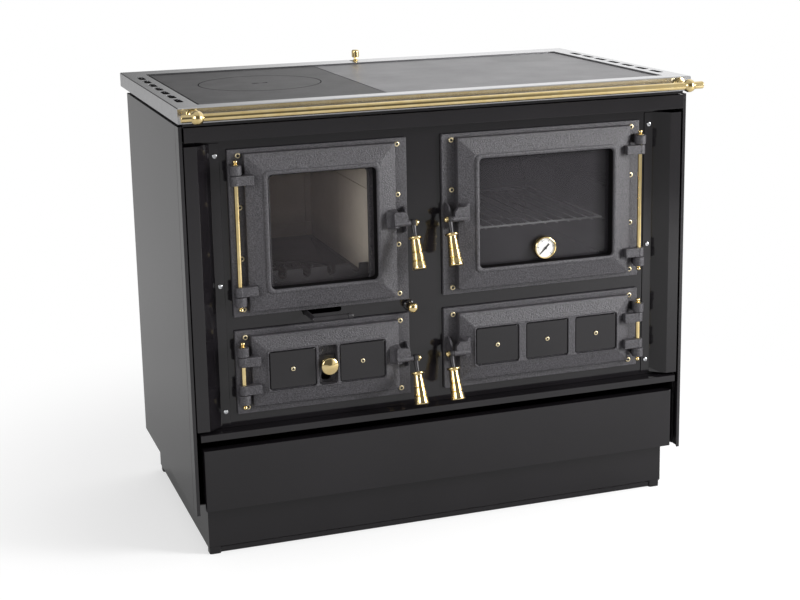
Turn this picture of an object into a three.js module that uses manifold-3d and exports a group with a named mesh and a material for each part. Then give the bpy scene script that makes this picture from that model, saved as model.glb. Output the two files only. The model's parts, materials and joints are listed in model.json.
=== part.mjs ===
// A wood-fired kitchen cookstove: enamelled cabinet on a plinth, steel worktop with cast hob
// plates and a brass towel rail, and four cast, bevelled doors with brass hinge rods and lever
// latches. Millimetres, +X right, +Y back, +Z up. Depths are measured from the front edge of the
// worktop while the stove is built, and the finished group is centred over its own footprint.
import * as THREE from 'three';
import { mergeVertices } from 'three/addons/utils/BufferGeometryUtils.js';
import Module from 'manifold-3d';

const wasm = await Module();
wasm.setup();

// ---------------------------------------------------------------- driving dimensions
const fit = 0.3;                  // gap between two pieces that touch
const sheet = 2;                  // enamelled cabinet sheet

// worktop
const width = 1000;
const depth = 600;
const height = 850;
const apronHeight = 28;
const topSheet = 3;
const worktopBevel = 1.5;
const plateThickness = 8;
const plateSink = 3;              // hob plates lie this far below the worktop frame
const stripFront = 34;            // frame strip in front of the hob plates
const stripRear = 60;
const stripSide = 43;
const ledgeWidth = 20;            // ledge that carries the hob plates
const plateGapSide = 8;
const plateGapFront = 2;
const plateJoint = 2;             // gap between the two hob plates
const leftPlateWidth = 349;
const coverRadius = 120;
const coverCentreY = 312;
const coverRebate = 10;           // width of the step the cover disc sits on
const coverGap = 0.8;
const lifterSlot = { length: 30, width: 12, waist: 5, deep: 5 };
const slotCount = 7;
const slotLength = 46;
const slotWidth = 13;
const slotPitch = 61.7;
const slotInset = 22;             // slot centre line from the worktop's side edge
const slotsCentreY = 286;

// cabinet
const sideInset = 2;              // side panels behind the worktop's side edge
const rearInset = 62;
const panelGap = 7;               // shadow gap under the apron
const cabinetBottom = 93;
const returnWidth = 16;           // folded returns of the side panels
const postSetback = 13;
const postDepth = 28;
const postLip = 6;
const postTongue = 22;            // post's tongue behind the side panel
const panelJoint = 1;             // seam between post and side panel
const ringInset = 8;              // top rails from the cabinet's side and back
const ringWall = 4;
const ringSetback = 12;
const runner = { flange: 22, height: 22, wall: 3, past: 20 };
const vents = { count: 5, pitch: 60, length: 40, height: 6, z: 153 };

// plinth
const plinthInset = 26;           // from the cabinet side
const plinthFront = 44;
const plinthRear = 8;
const toeHeight = 11;
const toeInset = 5;
const toeChamfer = 4;
const footSize = 22;
const footInset = 1;
const footRadius = 4;

// front, depths from the worktop's front edge
const fasciaSetback = 7;
const fasciaDrop = 63;            // fascia's lower edge below the worktop's top
const sillSetback = 11;
const sillEnd = 5;                // sill rail from the pillar trim's outer edge
const sillLap = 20;               // sill and its folds behind the front plate
const trimInset = { bottom: 5, top: 8 };
const trimSetback = 15;
const plateSetback = 40;          // recessed front plate
const groove = 2.6;               // dark groove between post and pillar trim
const trimStrip = 22.5;
const trimSlope = 27;
const trimFlange = 18;
const trimSheet = 1.5;

// drawer and sill, heights from the floor
const drawerBottom = 97;
const drawerHeight = 118;
const fingerGap = 19;
const sillHeight = 13;
const drawerInset = 18;           // drawer front from the cabinet side
const drawerFrontDepth = 20;
const drawerRear = 84;            // tray from the cabinet's back
const drawerWall = 78;
const drawerEdge = { wide: 5, mid: 1.5 };
const trayInset = 26;             // tray from the end of the drawer front
const trayRise = 8;               // tray above the front's lower edge

// cast door frames
const frameInset = 89.5;          // frame edge from the cabinet side
const fireboxFrameWidth = 337.5;
const frameGapMiddle = 69;
const frameGapVertical = 26;
const lowerFrameInset = 25;       // lower frames above the sill
const upperFrameInset = 21;       // upper frames below the fascia
const lowerFrameHeight = 159;
const frameThickness = 7;
const frameEase = 2;

// cast doors
const doorInsetSide = 26.5;
const upperDoorInset = { top: 7, bottom: 11 };
const lowerDoorInset = { top: 9, bottom: 16 };
const doorEdge = 14.5;            // thickness of the door's square edge
const bevelRise = 8;
const beadRise = 2;
const beadRadius = 11;
const upperBevel = 32;            // width of the sloping border
const lowerBevel = 27;
const beadWidth = 8;
const lipWidth = 3;
const glassThickness = 4;
const glassLap = 6;
const glassInset = 1;             // glass from the door's back face
const plateRecess = 5;
const insetPlate = 3;
const plateClearance = 2;
const plateBar = 14.5;            // bar between two inset plates
const airSlotWidth = 36;
const airSlotDeep = 8;            // floor of the air slot from the door's back
const airPlate = { height: 32, thickness: 3, corner: 4 };
const airHole = { height: 31, inset: 8, low: 2 };
const airSlotBar = 4.2;           // bar between the air slot and an inset plate
const mouthRadius = 9;

// door mouths, inset from the door's edges
const fireboxMouth = { side: 49, top: 45, bottom: 37 };
const ovenMouth = { side: 32, top: 34, bottom: 32 };
const lowerMouth = { side: 22, top: 20, bottom: 20 };

// hinges
const rodRadius = 4.3;
const rodInset = 9;               // rod axis from the frame's edge
const rodSetback = 12;
const rodClearance = 0.35;
const knuckleRadius = 11;
const knuckleHeight = 18;
const strapHeight = 18;
const hingeEnd = 25;              // first knuckle from the frame's end
const hingeStep = 0.8;            // running gap between knuckle and strap
const finialRadius = 4.6;
const strapRadius = 9.5;          // barrel of a strap round the rod
const strapLap = 14;              // strap's run on the door's border

// latches
const latchSetback = -2;
const hubInset = 1.5;             // middle of the lever hub from the frame's edge
const hubLength = 7.5;
const hubRadius = 7.5;
const armRadius = 5.5;
const stemRadius = 4;
const stemLength = 26;
const gripLength = 62;
const gripTilt = 22;              // degrees outward from hanging
const keeperHalf = 25;
const keeperThickness = 4;
const latchClearance = 1;
const armPast = 21;               // latch arm's root inside the door's edge
const noseLength = 13;
const nutRadius = 6.2;
const nutLength = 8;
const gripCollar = 12.2;
const gripNeck = 9.3;
const gripEnd = 13.8;

// rail
const railRadius = 7;
const railReach = 40;
const railDrop = 13;              // rail axis below the worktop's top
const railPastSide = 3;
const ballRadius = 12.5;
const ballInset = 26;
const rosetteRadius = 12;

// firebox, oven and the compartments below
const brick = 30;
const brickSetback = 4;           // brick face from the mouth's edge
const fireboxRear = 66;           // back brick from the cabinet's back
const hearthTop = 505;
const hearthBottom = 462;
const grateRadius = 82;
const grateThickness = 9;
const grateLedge = 6;
const grateBars = { pitch: 18, gap: 9, rim: 14 };
const ovenRear = 76;              // oven from the cabinet's back
const ovenWall = 2;
const ovenGrow = 2;               // oven walls outside the mouth
const rackAbove = 72;             // rack above the oven floor
const rackStep = 70;
const rackGuide = { reach: 8, thickness: 4, front: 20, rear: 30 };
const rackInset = { side: 3, front: 30, rear: 40 };
const rackWire = 4;
const rackPitch = 25;
const rackBar = 2.4;
const ashWall = 2;
const compartmentRear = 116;      // lower compartments from the cabinet's back
const compartmentGrow = 4;
const ashPan = { side: 4, front: 6, rear: 50, wall: 1.5, below: 12 };
const guardHeight = 27;           // log guard above the mouth's sill
const guardThickness = 6;
const guardSetback = 8;
const guardNotch = { width: 16, deep: 17, pitch: 47 };
const shakerRadius = 4;
const shakerAngle = 8;            // rod's rest angle, degrees left of straight ahead
const shakerSwing = 16;
const shakerReach = 55;           // rod in front of the front plate
const shakerHandle = 72;

// small brass pieces
const pullKnobRadius = 9.5;
const pullKnobReach = 20;
const damperKnobRadius = 7.75;
const damperTravel = 32;
const damperRear = 46;            // damper, pushed in, from the worktop's rear edge
const damperX = -2;
const damperSlotHalf = 4;
const damperCarriage = { half: 9, thickness: 6.7 };
const bezelRadius = 22.5;
const bezelDepth = 12;
const bezelHeight = 66;           // thermometer centre above the oven door's lower edge
const dialDepth = 3;              // dial behind the bezel's rim
const needleRest = 135;           // cold end of the scale, degrees below +X
const airKnobRadius = 16.5;
const flueRadius = 74;
const flueLength = 46;
const flueWall = 3;
const flueFlange = { width: 14, thickness: 4 };
const flueInset = 250;            // flue axis from the cabinet's right side
const flueDrop = 150;             // and below the top of its panels

// ---------------------------------------------------------------- derived planes
const cabinetHalf = width / 2 - sideInset;
const cabinetBack = depth - rearInset;
const panelTop = height - apronHeight - panelGap;
const fasciaBottom = height - fasciaDrop;
const sillBottom = drawerBottom + drawerHeight + fingerGap;
const sillTop = sillBottom + sillHeight;
const frameFront = plateSetback - frameThickness;
const doorBack = frameFront - fit;
const doorEdgeFront = frameFront - doorEdge;
const bevelTop = doorEdgeFront - bevelRise;
const beadFront = bevelTop - beadRise;
const plateBack = plateSetback + sheet;
const plateTop = height - plateSink;
const plateUnderside = plateTop - plateThickness;
const ledgeUnderside = plateUnderside - fit - topSheet;
const damperY = depth - damperRear;
const brickBack = cabinetBack - fireboxRear;
const flueX = cabinetHalf - flueInset;
const flueZ = panelTop - flueDrop;

// ---------------------------------------------------------------- solids
/** Turns a closed geometry into a solid, with shared corners merged and faces pointing out. */
function solid(geometry) {
  const bare = geometry.index ? geometry.toNonIndexed() : geometry.clone();
  bare.deleteAttribute('normal');
  bare.deleteAttribute('uv');
  const merged = mergeVertices(bare, 1e-4);
  const place = merged.attributes.position;
  const corner = (i) => new THREE.Vector3().fromBufferAttribute(place, i);
  const triangles = [];
  let volume = 0;
  for (let i = 0; i < merged.index.count; i += 3) {
    const [a, b, c] = [0, 1, 2].map((k) => merged.index.getX(i + k));
    if (a === b || b === c || c === a) continue;
    triangles.push(a, b, c);
    volume += corner(a).dot(corner(b).cross(corner(c)));
  }
  if (volume < 0) triangles.reverse();
  return new wasm.Manifold(new wasm.Mesh({
    numProp: 3,
    vertProperties: new Float32Array(place.array),
    triVerts: new Uint32Array(triangles),
  }));
}

/** Flat-shaded geometry of a solid. */
function geometryOf(body) {
  const mesh = body.getMesh();
  const geometry = new THREE.BufferGeometry();
  geometry.setAttribute('position', new THREE.BufferAttribute(new Float32Array(mesh.vertProperties), 3));
  geometry.setIndex(new THREE.BufferAttribute(new Uint32Array(mesh.triVerts), 1));
  const flat = geometry.toNonIndexed();
  flat.computeVertexNormals();
  return flat;
}

const join = (bodies) => bodies.reduce((all, body) => all.add(body));
const cut = (body, tools) => tools.reduce((rest, tool) => rest.subtract(tool), body);

/** Box between two opposite corners. */
function box(x0, x1, y0, y1, z0, z1) {
  const geometry = new THREE.BoxGeometry(x1 - x0, y1 - y0, z1 - z0);
  geometry.translate((x0 + x1) / 2, (y0 + y1) / 2, (z0 + z1) / 2);
  return solid(geometry);
}

/** Corner points of a rectangle with rounded corners, in the plane's own two directions. */
function rounded(u0, u1, v0, v1, radius, steps = 3) {
  const points = [];
  const corners = [[u1 - radius, v1 - radius], [u0 + radius, v1 - radius],
    [u0 + radius, v0 + radius], [u1 - radius, v0 + radius]];
  corners.forEach(([u, v], quarter) => {
    for (let i = 0; i <= steps; i += 1) {
      const angle = (quarter + i / steps) * Math.PI / 2;
      points.push([u + radius * Math.cos(angle), v + radius * Math.sin(angle)]);
    }
  });
  return points;
}

const rectangle = (u0, u1, v0, v1) => [[u1, v1], [u0, v1], [u0, v0], [u1, v0]];

// directions of an outline's first and second coordinate, and of its extrusion
const AXES = {
  x: [[0, 1, 0], [0, 0, 1], [1, 0, 0]],
  y: [[1, 0, 0], [0, 0, 1], [0, -1, 0]],
  z: [[1, 0, 0], [0, 1, 0], [0, 0, 1]],
};

/** Extrudes an outline along X (outline in Y, Z), Y (outline in X, Z) or Z (outline in X, Y). */
function prism(axis, outline, from, to) {
  const shape = new THREE.Shape(outline.map(([u, v]) => new THREE.Vector2(u, v)));
  const geometry = new THREE.ExtrudeGeometry(shape, { depth: to - from, bevelEnabled: false });
  const basis = new THREE.Matrix4().makeBasis(...AXES[axis].map((v) => new THREE.Vector3(...v)));
  geometry.applyMatrix4(basis);
  const start = { x: [from, 0, 0], y: [0, to, 0], z: [0, 0, from] }[axis];
  geometry.translate(...start);
  return solid(geometry);
}

/** Skins a row of convex outlines, each given as a list of corner points [x, y, z]. */
function skin(sections) {
  const count = sections[0].length;
  const index = [];
  for (let s = 0; s + 1 < sections.length; s += 1) {
    for (let i = 0; i < count; i += 1) {
      const a = s * count + i;
      const b = s * count + (i + 1) % count;
      index.push(a, b, b + count, a, b + count, a + count);
    }
  }
  const last = (sections.length - 1) * count;
  for (let i = 1; i + 1 < count; i += 1) {
    index.push(0, i + 1, i, last, last + i, last + i + 1);
  }
  const geometry = new THREE.BufferGeometry();
  geometry.setAttribute('position', new THREE.Float32BufferAttribute(sections.flat(2), 3));
  geometry.setIndex(index);
  return solid(geometry);
}

/** Skins outlines in X, Z that lie at depths y: each item is [outline, y]. */
const loft = (sections) => skin(sections.map(([outline, y]) => outline.map(([x, z]) => [x, y, z])));

/** Skins outlines in X, Y that lie at heights z: each item is [outline, z]. */
const stack = (sections) => skin(sections.map(([outline, z]) => outline.map(([x, y]) => [x, y, z])));

/** Revolves a profile of [radius, height] about its height axis, which points along `towards`. */
function turned(profile, segments = 16, towards = [0, 0, 1], at = [0, 0, 0]) {
  const points = profile.map(([r, h]) => new THREE.Vector2(r, h));
  const geometry = new THREE.LatheGeometry(points, segments);
  const turn = new THREE.Quaternion().setFromUnitVectors(
    new THREE.Vector3(0, 1, 0), new THREE.Vector3(...towards).normalize());
  geometry.applyQuaternion(turn);
  geometry.translate(...at);
  return solid(geometry);
}

const rod = (radius, from, to, towards, at, segments = 12) =>
  turned([[0, from], [radius, from], [radius, to], [0, to]], segments, towards, at);

/** Closed outline of a folded sheet that follows `path` and has its thickness on the left. */
function folded(path, thickness) {
  const vectors = path.map(([u, v]) => new THREE.Vector2(u, v));
  const normal = (i) => {
    const run = vectors[i + 1].clone().sub(vectors[i]).normalize();
    return new THREE.Vector2(-run.y, run.x);
  };
  const inner = vectors.map((point, i) => {
    const before = normal(Math.max(i - 1, 0));
    const after = normal(Math.min(i, vectors.length - 2));
    const mitre = before.clone().add(after);
    return point.clone().addScaledVector(mitre, thickness / (1 + before.dot(after)));
  });
  return [...vectors, ...inner.reverse()].map((p) => [p.x, p.y]);
}

const ordered = (a, b) => [Math.min(a, b), Math.max(a, b)];
const mirrored = (outline) => outline.map(([u, v]) => [-u, v]);

// ---------------------------------------------------------------- materials and the group
const finish = (color, roughness, metalness) =>
  new THREE.MeshStandardMaterial({ color, roughness, metalness });
const FINISHES = {
  enamel: [0x232225, 0.3, 0.1],
  sideEnamel: [0x2c2b2d, 0.22, 0.1],
  casting: [0x3a393d, 0.6, 0.4],
  iron: [0x2a292b, 0.55, 0.5],
  hobIron: [0x4b494b, 0.55, 0.6],
  hobSteel: [0x8b898b, 0.4, 0.8],
  steel: [0xb9b7ba, 0.35, 0.9],
  brass: [0xc9a552, 0.22, 1],
  brick: [0xcdbb9c, 0.9, 0],
  glass: [0x3c332c, 0.08, 0],
  darkGlass: [0x131214, 0.08, 0],
  dial: [0xe9e7e0, 0.5, 0],
};

const stove = new THREE.Group();

/** Adds one named piece to a group, with a material of its own. */
function piece(name, kind, body, group = stove) {
  const mesh = new THREE.Mesh(geometryOf(body), finish(...FINISHES[kind]));
  mesh.name = name;
  group.add(mesh);
  return mesh;
}

// ---------------------------------------------------------------- cabinet
function cabinet() {
  const seam = postSetback + postDepth;
  for (const [side, name] of [[-1, 'left'], [1, 'right']]) {
    const across = (a, b) => ordered(side * a, side * b);
    const start = seam + panelJoint;
    const shell = box(...across(cabinetHalf - returnWidth, cabinetHalf), start, cabinetBack,
      cabinetBottom, panelTop);
    const hollow = box(...across(cabinetHalf - returnWidth - 1, cabinetHalf - sheet), start - 1,
      cabinetBack - sheet, cabinetBottom - 1, panelTop - sheet);
    piece(`side_panel_${name}`, 'sideEnamel', shell.subtract(hollow));
  }
  const outer = -cabinetHalf;
  const tongue = outer + sheet + fit;
  const post = [[outer, postSetback], [outer + postLip, postSetback],
    [outer + postLip, postSetback + sheet], [outer + sheet, postSetback + sheet],
    [outer + sheet, seam - sheet], [tongue + sheet, seam - sheet],
    [tongue + sheet, seam + postTongue], [tongue, seam + postTongue], [tongue, seam], [outer, seam]];
  const notch = box(-cabinetHalf, cabinetHalf, seam + fit, seam + postTongue + 1,
    panelTop - sheet - fit, panelTop + 1);
  piece('front_post_left', 'sideEnamel',
    prism('z', post, cabinetBottom, panelTop).subtract(notch));
  piece('front_post_right', 'sideEnamel',
    prism('z', mirrored(post), cabinetBottom, panelTop).subtract(notch));
  backPanel();
  basePlate();
  topRails();
}

/** Back sheet with its row of vents and the flanged spigot for the flue pipe. */
function backPanel() {
  const half = cabinetHalf - returnWidth - fit;
  const at = [flueX, cabinetBack, flueZ];
  const inner = flueRadius - flueWall;
  const flange = flueRadius + flueFlange.width;
  const slots = Array.from({ length: vents.count }, (_, i) => {
    const x = (i - (vents.count - 1) / 2) * vents.pitch - half / 2;
    return prism('y', rounded(x - vents.length / 2, x + vents.length / 2, vents.z - vents.height / 2,
      vents.z + vents.height / 2, vents.height / 2 - 0.1, 1), cabinetBack - sheet - 1, cabinetBack + 1);
  });
  const panel = box(-half, half, cabinetBack - sheet, cabinetBack,
    cabinetBottom + sheet + 2 * fit, panelTop);
  const spigot = turned([[inner, -1], [flange, -1], [flange, flueFlange.thickness],
    [flueRadius, flueFlange.thickness], [flueRadius, flueLength], [inner, flueLength],
    [inner, -1]], 24, [0, 1, 0], at);
  const bore = rod(inner, -sheet - 1, 1, [0, 1, 0], at, 24);
  piece('back_panel', 'enamel', join([cut(panel, [...slots, bore]), spigot]));
}

/** Ring under the worktop that carries it and leaves the shadow gap below the apron. */
function topRails() {
  const half = cabinetHalf - ringInset;
  const back = cabinetBack - ringInset;
  const top = height - topSheet - fit;
  const bottom = panelTop + fit;
  piece('top_rails', 'enamel', cut(box(-half, half, ringSetback, back, bottom, top), [
    box(-half + ringWall, half - ringWall, ringSetback + ringWall, back - ringWall, bottom - 1, top + 1),
    box(-half + ringWall, half - ringWall, back - ringWall - 1, back + 1, ledgeUnderside - fit, top + 1)]));
}

/** Floor of the cabinet with the two rails the drawer runs on. */
function basePlate() {
  const front = postSetback + postDepth + postTongue + 1;
  const floor = cabinetBottom + sheet;
  const tray = cabinetHalf - drawerInset - trayInset;
  const under = drawerBottom + trayRise;
  const lip = tray + 1 + runner.wall;
  const rail = [[lip - runner.flange, floor - 1], [lip, floor - 1], [lip, under + runner.height],
    [tray + 1, under + runner.height], [tray + 1, under - fit], [lip - runner.flange, under - fit]];
  const run = [front + 1, cabinetBack - drawerRear + runner.past];
  piece('base_plate', 'enamel', join([box(-cabinetHalf + sheet + fit, cabinetHalf - sheet - fit,
    front, cabinetBack - sheet - fit, cabinetBottom, floor), prism('y', rail, ...run),
  prism('y', mirrored(rail), ...run)]));
}

function plinth() {
  const half = cabinetHalf - plinthInset;
  const back = cabinetBack - plinthRear;
  const top = cabinetBottom - fit;
  const ringOf = (inset, z0, z1) => box(-half + inset, half - inset, plinthFront + inset,
    back - inset, z0, z1);
  const skirt = loft([
    [rectangle(-half, half, toeHeight + toeChamfer, top), plinthFront],
    [rectangle(-half, half, toeHeight, top), plinthFront + toeChamfer],
    [rectangle(-half, half, toeHeight, top), back]]);
  const toe = ringOf(toeInset, 1, toeHeight + 1);
  const near = [footInset, footInset + footSize];
  const feet = [[-half + near[0], -half + near[1]], [half - near[1], half - near[0]]].flatMap((x) =>
    [[plinthFront + near[0], plinthFront + near[1]], [back - near[1], back - near[0]]].map((y) =>
      prism('z', rounded(...x, ...y, footRadius), 0, toeHeight + sheet + 1)));
  piece('plinth', 'enamel', join([cut(join([skirt, toe]), [
    ringOf(sheet, toeHeight + sheet, top + 1), ringOf(toeInset + 2 * sheet, 0, top)]), ...feet]));
}

// ---------------------------------------------------------------- worktop
const opening = {
  x0: -width / 2 + stripSide, x1: width / 2 - stripSide, y0: stripFront, y1: depth - stripRear,
};

function worktop() {
  const half = width / 2;
  const { x0, x1, y0, y1 } = opening;
  const under = height - apronHeight;
  const block = stack([[rectangle(-half, half, 0, depth), under],
    [rectangle(-half, half, 0, depth), height - worktopBevel],
    [rectangle(-half + worktopBevel, half - worktopBevel, worktopBevel, depth - worktopBevel), height]]);
  const wall = topSheet;
  const pocket = box(-half + wall, half - wall, wall, depth - wall, under - 1, height - topSheet);
  const ledgeTop = plateUnderside - fit;
  const curb = box(x0 - wall, x1 + wall, y0 - wall, y1 + wall, ledgeUnderside,
    height - topSheet + 1);
  const seat = box(x0, x1, y0, y1, ledgeTop, height + 1);
  const throat = box(x0 + ledgeWidth, x1 - ledgeWidth, y0 + ledgeWidth, y1 - ledgeWidth,
    under - 2, height + 1);
  const slots = [];
  for (const side of [-1, 1]) {
    for (let i = 0; i < slotCount; i += 1) {
      const x = side * (half - slotInset);
      const y = slotsCentreY + (i - (slotCount - 1) / 2) * slotPitch;
      slots.push(prism('z', rounded(x - slotWidth / 2, x + slotWidth / 2, y - slotLength / 2,
        y + slotLength / 2, 5, 2), height - topSheet - 1, height + 1));
    }
  }
  const damperSlot = prism('z', rounded(damperX - damperSlotHalf, damperX + damperSlotHalf,
    damperY - damperSlotHalf - fit, damperY + damperTravel + damperSlotHalf + fit,
    damperSlotHalf - 0.1), height - topSheet - 1, height + 1);
  piece('worktop_frame', 'steel', cut(block.subtract(pocket).add(curb),
    [seat, throat, ...slots, damperSlot]));
}

function hobPlates() {
  const y0 = opening.y0 + plateGapFront;
  const y1 = opening.y1 - plateGapFront;
  const left = opening.x0 + plateGapSide;
  const split = left + leftPlateWidth;
  const right = opening.x1 - plateGapFront;
  const centreX = (left + split) / 2;
  const step = plateTop - plateThickness / 2;
  const hole = [rod(coverRadius, step, plateTop + 1, [0, 0, 1], [centreX, coverCentreY, 0], 40),
    rod(coverRadius - coverRebate, plateUnderside - 1, step + 1, [0, 0, 1],
      [centreX, coverCentreY, 0], 40)];
  piece('hob_plate_left', 'hobIron',
    cut(box(left, split, y0, y1, plateUnderside, plateTop), hole));
  piece('hob_plate_right', 'hobSteel',
    box(split + plateJoint, right, y0, y1, plateUnderside, plateTop));
  const outer = coverRadius - coverGap;
  const inner = outer - coverRebate;
  const disc = turned([[0, plateUnderside], [inner, plateUnderside], [inner, step + fit],
    [outer, step + fit], [outer, plateTop], [0, plateTop]], 40);
  const [end, side, waist] = [lifterSlot.length / 2, lifterSlot.width / 2, lifterSlot.waist / 2];
  const bow = [[-end, -side], [0, -waist], [end, -side], [end, side], [0, waist], [-end, side]];
  const cover = piece('hob_cover', 'hobIron',
    disc.subtract(prism('z', bow, plateTop - lifterSlot.deep, plateTop + 1)));
  cover.position.set(centreX, coverCentreY, 0);
}

function damper() {
  const group = new THREE.Group();
  group.position.set(damperX, damperY, 0);
  stove.add(group);
  const { half, thickness } = damperCarriage;
  const under = height - topSheet - fit;
  const carriage = box(-half, half, -half, half, under - thickness, under);
  const stem = rod(3, height - topSheet - 5, height + 12, [0, 0, 1], [0, 0, 0], 12);
  const knob = turned([[0, height + 10], [damperKnobRadius - 1.5, height + 10],
    [damperKnobRadius, height + 11.5], [damperKnobRadius, height + 24.5],
    [damperKnobRadius - 1.5, height + 26], [0, height + 26]], 16);
  piece('damper_knob', 'brass', join([carriage, stem, knob]), group);
}

function towelRail() {
  const z = height - railDrop;
  const half = width / 2 + railPastSide;
  const ballX = width / 2 - ballInset;
  const tube = turned([[0, -half], [railRadius - 1, -half], [railRadius, -half + 1],
    [railRadius, half - 1], [railRadius - 1, half], [0, half]], 12, [1, 0, 0], [0, -railReach, z]);
  const fittings = [-ballX, ballX].flatMap((x) => {
    const ball = new THREE.SphereGeometry(ballRadius, 12, 8);
    ball.translate(x, -railReach, z);
    const post = turned([[0, fit], [rosetteRadius, fit], [rosetteRadius, 4],
      [rosetteRadius - 4, 6], [5, 7], [5, railReach], [0, railReach]], 12, [0, -1, 0], [x, 0, z]);
    return [solid(ball), post];
  });
  piece('towel_rail', 'brass', join([tube, ...fittings]));
}

// ---------------------------------------------------------------- front of the cabinet
const frameEdge = cabinetHalf - frameInset;
const upperZ = {
  z0: sillTop + lowerFrameInset + lowerFrameHeight + frameGapVertical,
  z1: fasciaBottom - upperFrameInset,
};
const lowerZ = { z0: sillTop + lowerFrameInset, z1: sillTop + lowerFrameInset + lowerFrameHeight };
const leftX = { x0: -frameEdge, x1: -frameEdge + fireboxFrameWidth };
const rightX = { x0: -frameEdge + fireboxFrameWidth + frameGapMiddle, x1: frameEdge };

/** Sizes of one door: its frame, its own edges, its mouth, hinge side and latch. */
function doorway(name, x, z, hinge, doorInset, mouth) {
  const door = {
    x0: x.x0 + doorInsetSide,
    x1: x.x1 - doorInsetSide,
    z0: z.z0 + doorInset.bottom,
    z1: z.z1 - doorInset.top,
  };
  const hole = {
    x0: door.x0 + mouth.side,
    x1: door.x1 - mouth.side,
    z0: door.z0 + mouth.bottom,
    z1: door.z1 - mouth.top,
  };
  return {
    name,
    frame: { ...x, ...z },
    door,
    hole,
    hinge,
    rodX: hinge < 0 ? x.x0 + rodInset : x.x1 - rodInset,
    latchX: hinge < 0 ? x.x1 : x.x0,
    latchZ: (z.z0 + z.z1) / 2,
    away: -hinge,
  };
}

const DOORS = {
  firebox: doorway('firebox', leftX, upperZ, -1, upperDoorInset, fireboxMouth),
  oven: doorway('oven', rightX, upperZ, 1, upperDoorInset, ovenMouth),
  ash: doorway('ash', leftX, lowerZ, -1, lowerDoorInset, lowerMouth),
  lower: doorway('lower', rightX, lowerZ, 1, lowerDoorInset, lowerMouth),
};

const inset = (r, by) => ({ x0: r.x0 + by, x1: r.x1 - by, z0: r.z0 + by, z1: r.z1 - by });

const outlineOf = (r, grow = 0, radius = 0) => (radius
  ? rounded(r.x0 - grow, r.x1 + grow, r.z0 - grow, r.z1 + grow, radius)
  : rectangle(r.x0 - grow, r.x1 + grow, r.z0 - grow, r.z1 + grow));

const shakerZ = upperZ.z0 - 5.5;
const grateCentre = {
  x: (DOORS.firebox.hole.x0 + DOORS.firebox.hole.x1) / 2,
  y: (plateBack + brickBack - brick) / 2 + 20,
};
const shakerArm = grateCentre.y - plateSetback;
const shakerX = (degrees) =>
  grateCentre.x + shakerArm * Math.tan((degrees - shakerAngle) * Math.PI / 180);
const pullKnob = { x: leftX.x1 + 2, z: upperZ.z0 - frameGapVertical / 2 };

function frontPlate() {
  const half = cabinetHalf - 2 * sheet - 2 * fit;
  const mouths = Object.values(DOORS).map(({ hole }) =>
    prism('y', outlineOf(hole, 0, mouthRadius), plateSetback - 5, plateBack + 5));
  const slot = prism('y', rounded(shakerX(0) - shakerRadius - 2, shakerX(shakerSwing) + shakerRadius + 2,
    shakerZ - shakerRadius - 1, shakerZ + shakerRadius + 1, 4, 2), plateSetback - 5, plateBack + 5);
  const at = [pullKnob.x, plateSetback, pullKnob.z];
  const bore = rod(4, -20, 20, [0, 1, 0], at);
  const boss = turned([[0, -1], [11, -1], [11, 3], [8, 5], [0, 5]], 16, [0, -1, 0], at);
  const plate = box(-half, half, plateSetback, plateBack, sillTop + fit, panelTop - sheet - fit);
  piece('front_plate', 'enamel', cut(plate.add(boss), [...mouths, slot, bore]));
}

function fasciaAndSill() {
  const half = cabinetHalf - postLip - groove;
  const profile = folded([[plateSetback - fit, panelTop - 1], [fasciaSetback, panelTop - 1],
    [fasciaSetback, fasciaBottom], [plateSetback - fit, fasciaBottom]], sheet);
  piece('fascia', 'enamel', prism('x', profile, -half, half));
  const end = half - sillEnd;
  const sill = folded([[plateBack + sillLap, sillTop], [sillSetback, sillTop],
    [sillSetback, sillBottom], [plateBack + sillLap, sillBottom]], sheet);
  piece('sill_rail', 'enamel', prism('x', sill, -end, end));
}

function pillarTrims() {
  const outer = -(cabinetHalf - postLip - groove);
  const lap = plateSetback - fit;
  const path = [[outer + trimStrip + trimSlope + trimFlange, lap],
    [outer + trimStrip + trimSlope, lap], [outer + trimStrip, trimSetback + trimSheet],
    [outer + trimSheet, trimSetback + trimSheet], [outer + trimSheet, lap]];
  const outline = folded(path, trimSheet);
  const bottom = sillTop + trimInset.bottom;
  const top = fasciaBottom - trimInset.top;
  piece('pillar_trim_left', 'enamel', prism('z', outline, bottom, top));
  piece('pillar_trim_right', 'enamel', prism('z', mirrored(outline), bottom, top));
}

// ---------------------------------------------------------------- door frames and hinges
/** Heights of one hinge: fixed knuckles at both ends and a strap inside each. */
function hingeHeights({ frame }) {
  const top = frame.z1 - hingeEnd;
  const bottom = frame.z0 + hingeEnd;
  return {
    knuckles: [[top - knuckleHeight, top], [bottom, bottom + knuckleHeight]],
    straps: [
      [top - knuckleHeight - hingeStep - strapHeight, top - knuckleHeight - hingeStep],
      [bottom + knuckleHeight + hingeStep, bottom + knuckleHeight + hingeStep + strapHeight]],
    top,
    bottom,
  };
}

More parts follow.
